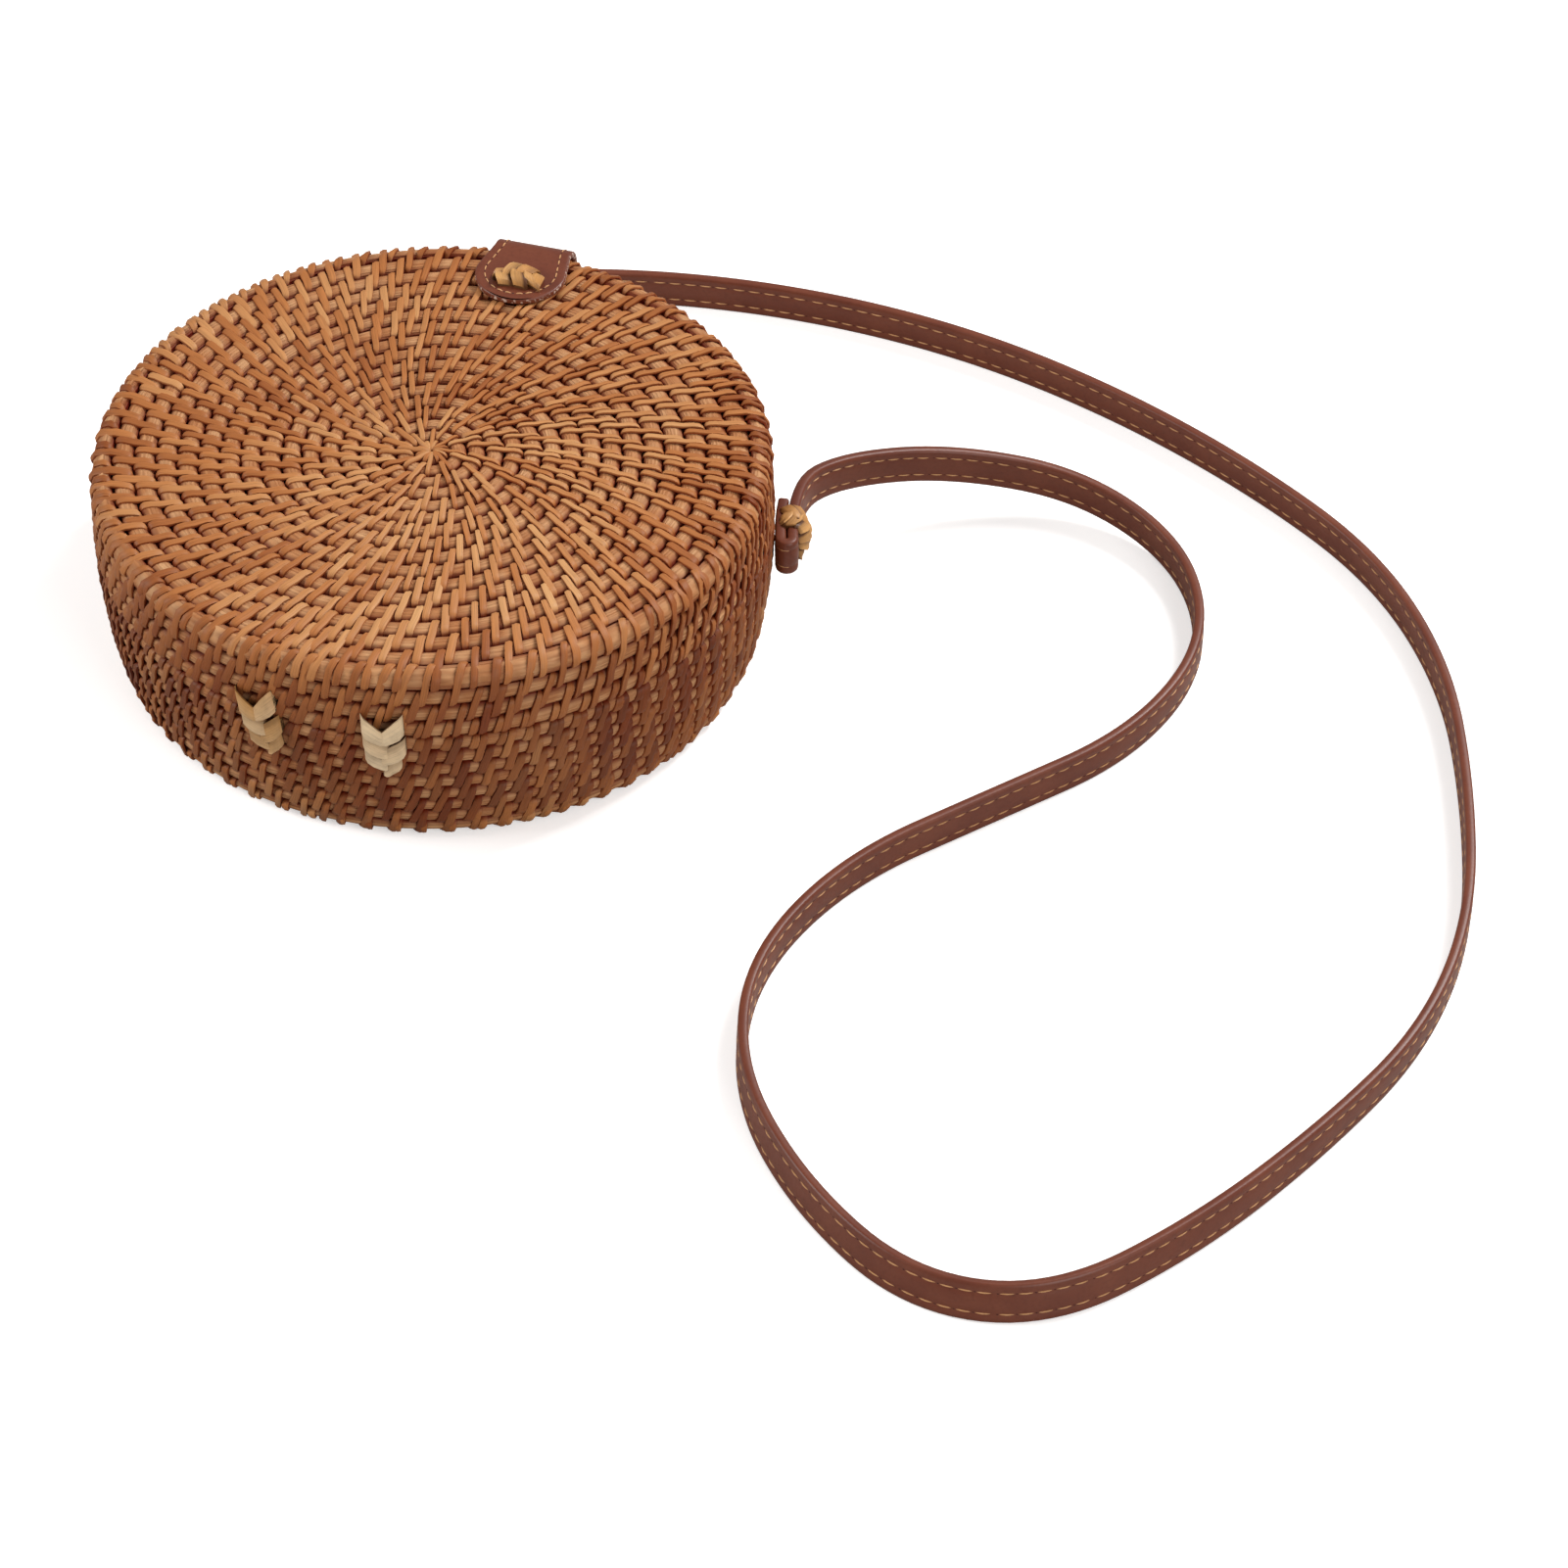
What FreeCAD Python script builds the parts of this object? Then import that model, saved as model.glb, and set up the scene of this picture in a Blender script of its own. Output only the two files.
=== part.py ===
"""Round woven shoulder bag: two coiled shells, plaited hinge ties, a leather closure and a leather strap.

Millimetres. The bag lies on its back face: the origin is the middle of that face, +Z is up through the lid,
+Y points at the closure and the hinge ties are on the -Y side.
"""
import FreeCAD, Part
import math
import os

# Shells: two coiled dishes that meet at the seam
bag_radius = 100.0
bag_depth = 66.0
seam_height = 42.6
coil_thickness = 6.0
base_draw_in = 3.6
rim_draw_in = 0.8
row_bulge_share = 0.36
row_widening_share = 0.115
foot_flat = 0.3
face_row_count = 16
back_wall_row_count = 7
front_wall_row_count = 3
rim_round_shares = (0.29, 0.71)
lining_thickness = 0.8
lining_hem = 1.5
seat_gap = 0.3
cut_overrun = 5.0

# Lacing: peeled rattan that holds the ties and rosettes through the shells, knotted inside
lacing_radius = 1.2
lacing_clearance = 0.2
knot_radius = 3.2
knot_height = 1.8

# Hinge ties: two plaited strips across the seam
tie_azimuth = 10.1
tie_width = 12.0
tie_thickness = 3.2
tie_below_seam = 12.3
tie_above_row_share = 1.517
tie_point_shares = (0.36, 0.30)
tie_prong_shares = (0.42, 0.30)
tie_peg_share = 0.74
tie_axis_clearance = 0.3

# Closure: a leather tab that bends over the rim and snaps on the back shell's wall
tab_end_width = 28.0
tab_bend_width = 24.0
tab_length = 29.0
leather_thickness = 2.0
bend_radius = 5.0
flap_standoff = 1.3
flap_end_height = 20.0
tab_rosette_inset = 19.0
tab_rosette_length = 16.5
tab_rosette_width = 11.5
snap_height = 31.0
snap_cap_radius = 6.0
snap_cap_height = 1.8
snap_socket_radius = 5.0
snap_socket_thickness = 0.7
snap_flange_radius = 4.5
snap_flange_thickness = 0.5
snap_flange_clearance = 0.1
snap_knob_radius = 1.9
snap_knob_clearance = 0.2
snap_post_radius = 1.4
snap_washer_thickness = 0.8

# Strap: flat leather on its edge, each end folded back under a rosette
strap_width = 12.0
strap_thickness = 3.2
fold_gap = 0.3
fixing_azimuth = 72.5
fixing_drop = 11.1
fold_reach = 9.0
tail_reach = 8.5
strap_rosette_radius = 7.25
strap_rosette_height = 4.6
arc_run_share = 0.45

# Middle line of the strap from the left fixing, behind the bag and round the floor, to the right fixing
strap_route = [
    (-103.2, 23.2, 31.5),
    (-97.5, 41.2, 31.5),
    (-89.5, 66.0, 28.5),
    (-74.0, 110.0, 20.0),
    (-36.0, 146.0, 9.0),
    (11.8, 165.2, 6.0),
    (65.3, 170.4, 6.0),
    (119.7, 165.0, 6.0),
    (171.7, 148.9, 6.0),
    (221.2, 124.7, 6.0),
    (266.3, 93.6, 6.0),
    (296.2, 50.5, 6.0),
    (312.3, -0.4, 6.0),
    (322.1, -51.8, 6.0),
    (317.6, -98.4, 6.0),
    (298.9, -141.6, 6.0),
    (274.0, -184.8, 6.0),
    (242.7, -221.0, 6.0),
    (205.2, -225.5, 6.0),
    (168.2, -200.2, 6.0),
    (140.4, -164.8, 6.0),
    (132.1, -122.0, 6.0),
    (147.2, -77.2, 6.0),
    (181.1, -39.6, 6.0),
    (213.7, -3.5, 6.0),
    (225.9, 40.5, 6.0),
    (210.9, 81.0, 6.0),
    (174.3, 101.9, 10.0),
    (134.1, 92.4, 18.5),
    (105.3, 69.8, 26.5),
    (95.7, 47.0, 31.5),
    (103.2, 23.2, 31.5),
]

V = FreeCAD.Vector
up = V(0, 0, 1)
outward = V(0, 1, 0)
os.makedirs("parts", exist_ok=True)


def save(name, shape):
    """Writes one node."""
    shape.exportStep("parts/" + name + ".step")


def line(start, end):
    return Part.makeLine(V(*start), V(*end))


def arc(start, middle, end):
    return Part.Arc(V(*start), V(*middle), V(*end)).toShape()


def revolved(edges):
    """Turns a closed half section, drawn in X and Z, right round the bag's axis."""
    face = Part.Face(Part.Wire(edges))
    return face.revolve(V(0, 0, 0), up, 360.0)


def polygon_ring(points):
    """A ring whose half section is a plain polygon of (radius, height) points."""
    corners = [(r, 0, z) for r, z in points]
    edges = [line(a, b) for a, b in zip(corners, corners[1:] + corners[:1])]
    return revolved(edges)


def placed(shape, azimuth, height):
    """Moves a shape from a fixing's own axes (+Y outward, +Z up) to its azimuth and height on the bag."""
    moved = shape.copy()
    moved.translate(V(0, 0, height))
    moved.rotate(V(0, 0, 0), up, -azimuth)
    return moved


def radial_peg(radius, inner, outer, side=0.0):
    """A peg along a fixing's outward axis, from one distance to another off the bag's axis."""
    return Part.makeCylinder(radius, outer - inner, V(side, inner, 0), outward)


# Shell sizes that follow from the driving ones
foot_radius = bag_radius - base_draw_in
rim_radius = bag_radius - rim_draw_in
lid_floor = bag_depth - coil_thickness


def wall_radius(height):
    """Outside of the coil rows: drawn in towards the base, straight above the seam."""
    rise = (height - coil_thickness) / (seam_height - coil_thickness)
    return bag_radius - base_draw_in * max(0.0, 1.0 - rise) ** 2


def inner_radius(height):
    return wall_radius(height) - coil_thickness


def lining_radius(height):
    """Inside of the cloth band, where the knots lie."""
    return inner_radius(height) - seat_gap - lining_thickness


def row_heights(low, high, count):
    return [low + (high - low) * i / count for i in range(count + 1)]


def wall_coil(low, high, count):
    """A ring of stacked coil rows, each row a rounded ridge on the outside."""
    heights = row_heights(low, high, count)
    row_bulge = row_bulge_share * (high - low) / count
    valleys = [(wall_radius(z) - row_bulge, 0, z) for z in heights]
    inside = [(inner_radius(z), 0, z) for z in reversed(heights)]
    edges = []
    for a, b in zip(valleys, valleys[1:]):
        middle = (a[2] + b[2]) / 2
        edges.append(arc(a, (wall_radius(middle), 0, middle), b))
    edges.append(line(valleys[-1], inside[0]))
    edges += [line(a, b) for a, b in zip(inside, inside[1:])]
    edges.append(line(inside[-1], valleys[0]))
    return revolved(edges)


def face_coil(radius, flat_height, crest_height):
    """A disc of coil rows: flat towards the inside of the bag, ridged outside, rounded at the rim."""
    way = math.copysign(1.0, crest_height - flat_height)
    last = radius - coil_thickness
    row_bulge = row_bulge_share * last / face_row_count
    valley = crest_height - way * row_bulge
    shares = [i / face_row_count for i in range(face_row_count + 1)]
    bounds = [last * ((1 - row_widening_share) * share + row_widening_share * share ** 2) for share in shares]
    crest = (0, 0, crest_height)
    shoulder = (bounds[1] / 2, 0, crest_height - way * row_bulge / 4)
    edges = [line((0, 0, flat_height), crest)]
    edges.append(arc(crest, shoulder, (bounds[1], 0, valley)))
    for a, b in zip(bounds[1:], bounds[2:]):
        edges.append(arc((a, 0, valley), ((a + b) / 2, 0, crest_height), (b, 0, valley)))
    inward, rise = rim_round_shares
    rim_middle = (radius - inward * coil_thickness, 0, flat_height + way * rise * coil_thickness)
    edges.append(arc((last, 0, valley), rim_middle, (radius, 0, flat_height)))
    edges.append(line((radius, 0, flat_height), (0, 0, flat_height)))
    return revolved(edges)


def lining_band(low, high, count):
    """The cloth band inside a wall, following its rows a small gap away."""
    heights = row_heights(low, high, count)
    outside = [(inner_radius(z) - seat_gap, z) for z in heights]
    inside = [(lining_radius(z), z) for z in reversed(heights)]
    return polygon_ring(outside + inside)


def lining_disc(low, high):
    radius = min(inner_radius(low), inner_radius(high)) - seat_gap
    return Part.makeCylinder(radius, high - low, V(0, 0, low))


# Shells and linings before the lacing holes are made
base_block = Part.makeBox(2 * bag_radius, 2 * bag_radius, bag_depth, V(-bag_radius, -bag_radius, -bag_depth))
lid_lining_floor = lid_floor - lining_thickness
back_lining_floor = coil_thickness + lining_thickness
nodes = {
    "back_face_coil": face_coil(foot_radius, coil_thickness, -foot_flat).cut(base_block),
    "back_wall_coil": wall_coil(coil_thickness, seam_height, back_wall_row_count),
    "back_lining_disc": lining_disc(coil_thickness, back_lining_floor),
    "back_lining_band": lining_band(back_lining_floor, seam_height - lining_hem, back_wall_row_count),
    "front_face_coil": face_coil(rim_radius, lid_floor, bag_depth),
    "front_wall_coil": wall_coil(seam_height, lid_floor, front_wall_row_count),
    "front_lining_disc": lining_disc(lid_lining_floor, lid_floor),
    "front_lining_band": lining_band(seam_height + lining_hem, lid_lining_floor, front_wall_row_count),
}
hole_radius = lacing_radius + lacing_clearance


def pierce(node_names, hole):
    """Makes one lacing hole through each named node."""
    for name in node_names:
        nodes[name] = nodes[name].cut(hole)


def inside_seat(height, half_width):
    """Distance off the bag's axis at which a flat piece of this half width lies inside the lining."""
    radius = lining_radius(height)
    return math.sqrt(radius ** 2 - half_width ** 2) - seat_gap


# Hinge ties: a pointed lower half on the back shell and a forked upper half on the lid
half_width = tie_width / 2
tie_seat = bag_radius + seat_gap
lid_row_pitch = (lid_floor - seam_height) / front_wall_row_count
tie_above_seam = lid_row_pitch * tie_above_row_share
point_height_share, point_width_share = tie_point_shares
fork_depth_share, prong_width_share = tie_prong_shares
lower_outline = [
    (-half_width, 0),
    (-half_width, -tie_below_seam * (1 - point_height_share)),
    (-half_width * point_width_share, -tie_below_seam),
    (half_width * point_width_share, -tie_below_seam),
    (half_width, -tie_below_seam * (1 - point_height_share)),
    (half_width, 0),
]
upper_outline = [
    (-half_width, 0),
    (-half_width, tie_above_seam),
    (-half_width * (1 - prong_width_share), tie_above_seam),
    (0, tie_above_seam * fork_depth_share),
    (half_width * (1 - prong_width_share), tie_above_seam),
    (half_width, tie_above_seam),
    (half_width, 0),
]


def tie_plate(outline):
    """A flat plate of the tie's thickness, lying on a fixing's outward axis."""
    corners = [V(x, 0, z) for x, z in outline]
    face = Part.Face(Part.makePolygon(corners + corners[:1]))
    return face.extrude(outward * tie_thickness)


lower_peg_drop = tie_below_seam * tie_peg_share
upper_peg_rise = tie_above_seam * tie_peg_share
upper_peg_side = half_width * (1 - prong_width_share / 2)
for side, azimuth in (("left", 180.0 + tie_azimuth), ("right", 180.0 - tie_azimuth)):
    low = seam_height - lower_peg_drop
    low_seat = inside_seat(low, knot_radius)
    low_plate = tie_plate(lower_outline)
    low_plate.translate(V(0, tie_seat, lower_peg_drop))
    low_tie = low_plate.fuse(radial_peg(lacing_radius, low_seat, tie_seat + tie_thickness / 2))
    nodes["hinge_tie_" + side + "_lower"] = placed(low_tie.removeSplitter(), azimuth, low)
    low_knot = radial_peg(knot_radius, low_seat - knot_height, low_seat)
    nodes["hinge_knot_" + side + "_lower"] = placed(low_knot, azimuth, low)
    pierce(
        ["back_wall_coil", "back_lining_band"],
        placed(radial_peg(hole_radius, low_seat, tie_seat), azimuth, low),
    )

    high = seam_height + upper_peg_rise
    bar_half = upper_peg_side + hole_radius
    high_seat = inside_seat(high, bar_half)
    high_tie = tie_plate(upper_outline)
    high_tie.translate(V(0, tie_seat, -upper_peg_rise))
    for peg_side in (-upper_peg_side, upper_peg_side):
        high_tie = high_tie.fuse(radial_peg(lacing_radius, high_seat, tie_seat + tie_thickness / 2, peg_side))
        pierce(
            ["front_wall_coil", "front_lining_band"],
            placed(radial_peg(hole_radius, high_seat, tie_seat, peg_side), azimuth, high),
        )
    nodes["hinge_tie_" + side + "_upper"] = placed(high_tie.removeSplitter(), azimuth, high)
    bar_corner = V(-bar_half, high_seat - knot_height, -hole_radius)
    high_knot = Part.makeBox(2 * bar_half, knot_height, 2 * hole_radius, bar_corner)
    nodes["hinge_knot_" + side + "_upper"] = placed(high_knot, azimuth, high)

# Closure: tab on the lid, bend over the rim, flap down the wall
half_bend = tab_bend_width / 2
half_end = tab_end_width / 2
tab_bottom = bag_depth + seat_gap
tab_top = tab_bottom + leather_thickness
flap_inside = bag_radius + flap_standoff
flap_outside = flap_inside + leather_thickness
bend_y = flap_inside - bend_radius
bend_z = tab_bottom - bend_radius
tab_tip = bag_radius - tab_length


def tongue(root, tip, at):
    """A leather tongue, flat in X and Y, that widens from its straight root to a round end."""
    way = math.copysign(half_end, root - tip)
    edges = [
        line((half_bend, root, at), (half_end, tip + way, at)),
        arc((half_end, tip + way, at), (0, tip, at), (-half_end, tip + way, at)),
        line((-half_end, tip + way, at), (-half_bend, root, at)),
        line((-half_bend, root, at), (half_bend, root, at)),
    ]
    return Part.Face(Part.Wire(edges)).extrude(up * leather_thickness)


tab = tongue(bend_y, tab_tip, tab_bottom)
flap = tongue(bend_z, flap_end_height, 0)
flap.rotate(V(0, 0, 0), V(1, 0, 0), 90.0)
flap.translate(V(0, flap_outside, 0))
bend_start = V(-half_bend, bend_y, bend_z)
bend_reach = bend_radius + leather_thickness
bend_outer = Part.makeCylinder(bend_reach, tab_bend_width, bend_start, V(1, 0, 0))
bend_inner = Part.makeCylinder(bend_radius, tab_bend_width, bend_start, V(1, 0, 0))
bend_quarter = Part.makeBox(tab_bend_width, bend_reach, bend_reach, bend_start)
nodes["closure_bend"] = bend_outer.cut(bend_inner).common(bend_quarter)

# Rosette on the tab: an oval dome with its lacing through the tab, the lid and the lining
rosette_y = bag_radius - tab_rosette_inset
rosette_half_width = tab_rosette_width / 2
rosette_straight = tab_rosette_length - tab_rosette_width
capsule_start = V(-rosette_straight / 2, 0, 0)
capsule_end = V(rosette_straight / 2, 0, 0)
capsule = Part.makeCylinder(rosette_half_width, rosette_straight, capsule_start, V(1, 0, 0))
capsule = capsule.fuse(Part.makeSphere(rosette_half_width, capsule_start))
capsule = capsule.fuse(Part.makeSphere(rosette_half_width, capsule_end))
dome_corner = V(-tab_rosette_length / 2, -rosette_half_width, 0)
oval_dome = capsule.common(Part.makeBox(tab_rosette_length, tab_rosette_width, rosette_half_width, dome_corner))
oval_dome.translate(V(0, rosette_y, tab_top))
tab_knot_top = lid_lining_floor
tab_lacing = Part.makeCylinder(lacing_radius, tab_top - tab_knot_top, V(0, rosette_y, tab_knot_top))
nodes["closure_rosette"] = oval_dome.fuse(tab_lacing).removeSplitter()
nodes["closure_rosette_knot"] = Part.makeCylinder(
    knot_radius, knot_height, V(0, rosette_y, tab_knot_top - knot_height)
)
tab_hole = Part.makeCylinder(
    hole_radius, tab_top - tab_knot_top + 2 * cut_overrun, V(0, rosette_y, tab_knot_top - cut_overrun)
)
nodes["closure_tab"] = tab.cut(tab_hole)
pierce(["front_face_coil", "front_lining_disc"], tab_hole)

# Press stud: cap and socket grip the flap, stud and washer grip the back wall
snap_wall = wall_radius(snap_height + snap_flange_radius) + snap_flange_clearance
socket_inside = flap_inside - snap_socket_thickness
cap = Part.makeCylinder(snap_cap_radius, snap_cap_height, V(0, flap_outside, 0), outward)
cap_rim = max(cap.Edges, key=lambda edge: edge.BoundBox.YMin)
cap = cap.makeFillet(snap_cap_height / 2, [cap_rim])
cap = cap.fuse(radial_peg(snap_post_radius, flap_inside, flap_outside))
nodes["snap_cap"] = placed(cap.removeSplitter(), 0, snap_height)
socket = radial_peg(snap_socket_radius, socket_inside, flap_inside)
socket_bore = radial_peg(snap_knob_radius + snap_knob_clearance, socket_inside - cut_overrun, flap_inside)
socket = socket.cut(socket_bore)
nodes["snap_socket"] = placed(socket, 0, snap_height)
post_hole = placed(
    radial_peg(snap_post_radius + lacing_clearance, flap_inside - cut_overrun, flap_outside + cut_overrun),
    0,
    snap_height,
)
nodes["closure_flap"] = flap.cut(post_hole)
washer_seat = inside_seat(snap_height, snap_flange_radius)
flange_end = snap_wall + snap_flange_thickness
stud = radial_peg(snap_flange_radius, snap_wall, flange_end)
stud = stud.fuse(radial_peg(snap_knob_radius, flange_end, flap_inside - snap_knob_clearance))
stud = stud.fuse(radial_peg(snap_post_radius, washer_seat, snap_wall))
nodes["snap_stud"] = placed(stud.removeSplitter(), 0, snap_height)
washer = radial_peg(snap_flange_radius, washer_seat - snap_washer_thickness, washer_seat)
nodes["snap_washer"] = placed(washer, 0, snap_height)
stud_hole = placed(
    radial_peg(snap_post_radius + lacing_clearance, washer_seat, snap_wall + cut_overrun), 0, snap_height
)
pierce(["back_wall_coil", "back_lining_band"], stud_hole)


def cord_path(points):
    """Straight runs joined by arcs as large as the runs allow, with the radii that they come to."""
    corners = [V(*p) for p in points]
    edges = []
    radii = []
    at = corners[0]
    for before, corner, after in zip(corners, corners[1:], corners[2:]):
        run_in = before - corner
        run_out = after - corner
        turn = math.pi - run_in.getAngle(run_out)
        shorter = min(run_in.Length, run_out.Length)
        setback = arc_run_share * shorter
        radius = setback / math.tan(turn / 2)
        run_in.normalize()
        run_out.normalize()
        arc_start = corner + run_in * setback
        arc_end = corner + run_out * setback
        bisector = run_in + run_out
        bisector.normalize()
        arc_middle = corner + bisector * (radius / math.cos(turn / 2) - radius)
        edges.append(Part.LineSegment(at, arc_start).toShape())
        edges.append(Part.Arc(arc_start, arc_middle, arc_end).toShape())
        radii.append(radius)
        at = arc_end
    edges.append(Part.LineSegment(at, corners[-1]).toShape())
    return Part.Wire(edges), radii


# Strap: a flat band on its edge, swept along its route
strap_path, strap_radii = cord_path(strap_route)
start = V(*strap_route[0])
first_run = V(*strap_route[1]) - start
side_step = first_run.cross(up)
side_step.normalize()
across = side_step * (strap_thickness / 2)
half_rise = up * (strap_width / 2)
section = [
    start + across + half_rise,
    start - across + half_rise,
    start - across - half_rise,
    start + across - half_rise,
]
sweep = Part.BRepOffsetAPI.MakePipeShell(strap_path)
sweep.setBiNormalMode(up)
sweep.add(Part.makePolygon(section + section[:1]))
sweep.build()
sweep.makeSolid()
strap = Part.Solid(sweep.shape())
print("strap length %.1f" % strap_path.Length)
strap_section_area = strap_width * strap_thickness
print("strap volume %.0f, section times length %.0f" % (strap.Volume, strap_section_area * strap_path.Length))
print("strap arc radii", [round(r) for r in strap_radii])

# Strap fixings: the folded-back end, the rosette outside and the knot inside
layer_step = strap_thickness + fold_gap
tail_inside = bag_radius + seat_gap
tail_outside = tail_inside + strap_thickness
band_inside = tail_inside + layer_step
band_outside = band_inside + strap_thickness
fold_middle = (tail_inside + band_outside) / 2
fold_outer = (band_outside - tail_inside) / 2
fold_inner = fold_gap / 2
rosette_seat = band_outside + seat_gap
fixing_height = seam_height - fixing_drop
fixing_seat = inside_seat(fixing_height, knot_radius)
for side, azimuth, way in (("left", -fixing_azimuth, -1), ("right", fixing_azimuth, 1)):
    bend_at = way * fold_reach
    tail_end = -way * tail_reach
    inner_turn = (bend_at + way * fold_inner, fold_middle, 0)
    outer_turn = (bend_at + way * fold_outer, fold_middle, 0)
    edges = [
        line((bend_at, band_outside, 0), (bend_at, band_inside, 0)),
        arc((bend_at, band_inside, 0), inner_turn, (bend_at, tail_outside, 0)),
        line((bend_at, tail_outside, 0), (tail_end, tail_outside, 0)),
        line((tail_end, tail_outside, 0), (tail_end, tail_inside, 0)),
        line((tail_end, tail_inside, 0), (bend_at, tail_inside, 0)),
        arc((bend_at, tail_inside, 0), outer_turn, (bend_at, band_outside, 0)),
    ]
    fold = Part.Face(Part.Wire(edges)).extrude(up * strap_width)
    fold.translate(V(0, 0, -strap_width / 2))
    dome_reach = strap_rosette_radius ** 2 / strap_rosette_height
    dome_radius = (dome_reach + strap_rosette_height) / 2
    dome_middle = V(0, rosette_seat + strap_rosette_height - dome_radius, 0)
    dome_corner = V(-dome_radius, rosette_seat, -dome_radius)
    dome_box = Part.makeBox(2 * dome_radius, 2 * dome_radius, 2 * dome_radius, dome_corner)
    dome = Part.makeSphere(dome_radius, dome_middle).common(dome_box)
    rosette = dome.fuse(radial_peg(lacing_radius, fixing_seat, rosette_seat)).removeSplitter()
    lacing_hole = placed(radial_peg(hole_radius, fixing_seat, rosette_seat), azimuth, fixing_height)
    nodes["strap_rosette_" + side] = placed(rosette, azimuth, fixing_height)
    nodes["strap_fold_" + side] = placed(fold, azimuth, fixing_height).cut(lacing_hole)
    knot = radial_peg(knot_radius, fixing_seat - knot_height, fixing_seat)
    nodes["strap_knot_" + side] = placed(knot, azimuth, fixing_height)
    strap = strap.cut(lacing_hole)
    pierce(["back_wall_coil", "back_lining_band"], lacing_hole)
nodes["strap"] = strap

# The lid's hinge axis runs along the outside of the ties
print("lid hinge y %.2f z %.2f" % (-(tie_seat + tie_thickness + tie_axis_clearance), seam_height))
print("flap hinge y %.2f z %.2f" % (bend_y, bend_z))
for name, shape in nodes.items():
    solids = shape.Solids
    print("%-24s solids %d valid %s volume %9.1f" % (name, len(solids), shape.isValid(), shape.Volume))
    save(name, solids[0] if len(solids) == 1 else shape)
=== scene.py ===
"""Round woven shoulder bag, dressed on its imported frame.

Metres. The bag lies on its back face: +Z is up through the lid, +Y points at the leather closure,
and the plaited hinge ties are on the -Y side.
"""
import bmesh
import bpy
import math
import random
from collections import namedtuple
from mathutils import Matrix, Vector, noise
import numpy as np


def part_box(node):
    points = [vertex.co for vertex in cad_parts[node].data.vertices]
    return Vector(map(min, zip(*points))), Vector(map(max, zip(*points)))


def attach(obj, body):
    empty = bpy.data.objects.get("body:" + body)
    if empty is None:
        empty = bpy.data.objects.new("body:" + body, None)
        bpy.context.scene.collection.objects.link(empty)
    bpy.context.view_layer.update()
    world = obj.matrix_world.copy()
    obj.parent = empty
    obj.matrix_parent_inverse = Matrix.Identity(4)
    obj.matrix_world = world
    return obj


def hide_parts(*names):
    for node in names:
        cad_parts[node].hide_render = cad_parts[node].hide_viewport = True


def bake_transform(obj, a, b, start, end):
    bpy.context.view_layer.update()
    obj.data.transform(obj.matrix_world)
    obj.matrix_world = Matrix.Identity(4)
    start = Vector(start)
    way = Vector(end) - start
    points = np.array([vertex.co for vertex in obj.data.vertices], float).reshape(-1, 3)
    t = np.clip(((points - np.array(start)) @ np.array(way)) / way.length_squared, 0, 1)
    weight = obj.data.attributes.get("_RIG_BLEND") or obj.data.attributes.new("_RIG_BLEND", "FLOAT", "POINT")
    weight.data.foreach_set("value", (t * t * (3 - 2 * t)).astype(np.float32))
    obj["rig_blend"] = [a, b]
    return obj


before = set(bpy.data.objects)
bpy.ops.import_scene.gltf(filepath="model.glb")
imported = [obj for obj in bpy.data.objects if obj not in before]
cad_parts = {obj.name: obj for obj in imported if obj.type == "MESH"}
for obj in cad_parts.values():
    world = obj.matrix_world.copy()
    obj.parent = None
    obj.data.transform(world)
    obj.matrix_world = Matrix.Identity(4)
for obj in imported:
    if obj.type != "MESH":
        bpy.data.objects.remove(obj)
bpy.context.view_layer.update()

# Studio: a white paper sweep under large soft lamps, seen from above the hinge side of the bag.
# The main lamp hangs behind and to the right, so the lid is bright and the wall a little darker.
camera_place = (0.42232, -1.10835, 1.0444)
camera_tilt = 46.72
camera_turn = 15.877
camera_lens = 120.28
floor_half_size = 6.0
paper_white = "#fdfcfb"
paper_bounce = "#c4c0bb"
paper_glow = 0.50
ambient_strength = 0.29
lamps = (
    ("main_softbox", (0.78, 0.95, 1.30), (0.05, -0.02, 0.03), 0.60, 24.0),
    ("front_softbox", (1.55, -1.20, 1.0), (0.05, 0.0, 0.03), 1.1, 17.0),
    ("left_softbox", (-1.6, -0.6, 1.0), (0.05, 0.0, 0.03), 0.9, 19.5),
)


def colour(code):
    """The linear colour of an sRGB hex value."""
    channels = [int(code[i:i + 2], 16) / 255 for i in (1, 3, 5)]
    return [c / 12.92 if c <= 0.04045 else ((c + 0.055) / 1.055) ** 2.4 for c in channels] + [1.0]


def node(tree, kind, inputs=(), out=0, **settings):
    """Adds a shader node and returns one of its outputs.

    settings are its properties, and inputs its sockets' values: numbers, sRGB hex colours or the outputs of
    other nodes.
    """
    made = tree.nodes.new("ShaderNode" + kind)
    for name, value in settings.items():
        setattr(made, name, value)
    for socket, value in dict(inputs).items():
        if isinstance(value, bpy.types.NodeSocket):
            tree.links.new(value, made.inputs[socket])
        else:
            made.inputs[socket].default_value = colour(value) if isinstance(value, str) else value
    return made.outputs[out] if len(made.outputs) else None


# A Mix of colours takes its share at socket 0 and the colours at 6 and 7, and gives the result at 2.
in_colour = {"data_type": "RGBA", "out": 2}


def new_material(name):
    """An empty material and its tree."""
    material = bpy.data.materials.new(name)
    material.use_nodes = True
    material.node_tree.nodes.clear()
    return material, material.node_tree


def linked_object(name, data):
    made = bpy.data.objects.new(name, data)
    bpy.context.scene.collection.objects.link(made)
    return made


camera_data = bpy.data.cameras.new("photo_camera")
camera_data.lens = camera_lens
camera = linked_object("photo_camera", camera_data)
camera.location = camera_place
camera.rotation_euler = (math.radians(camera_tilt), 0, math.radians(camera_turn))
bpy.context.scene.camera = camera
bpy.context.scene.view_settings.view_transform = "Standard"

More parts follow.
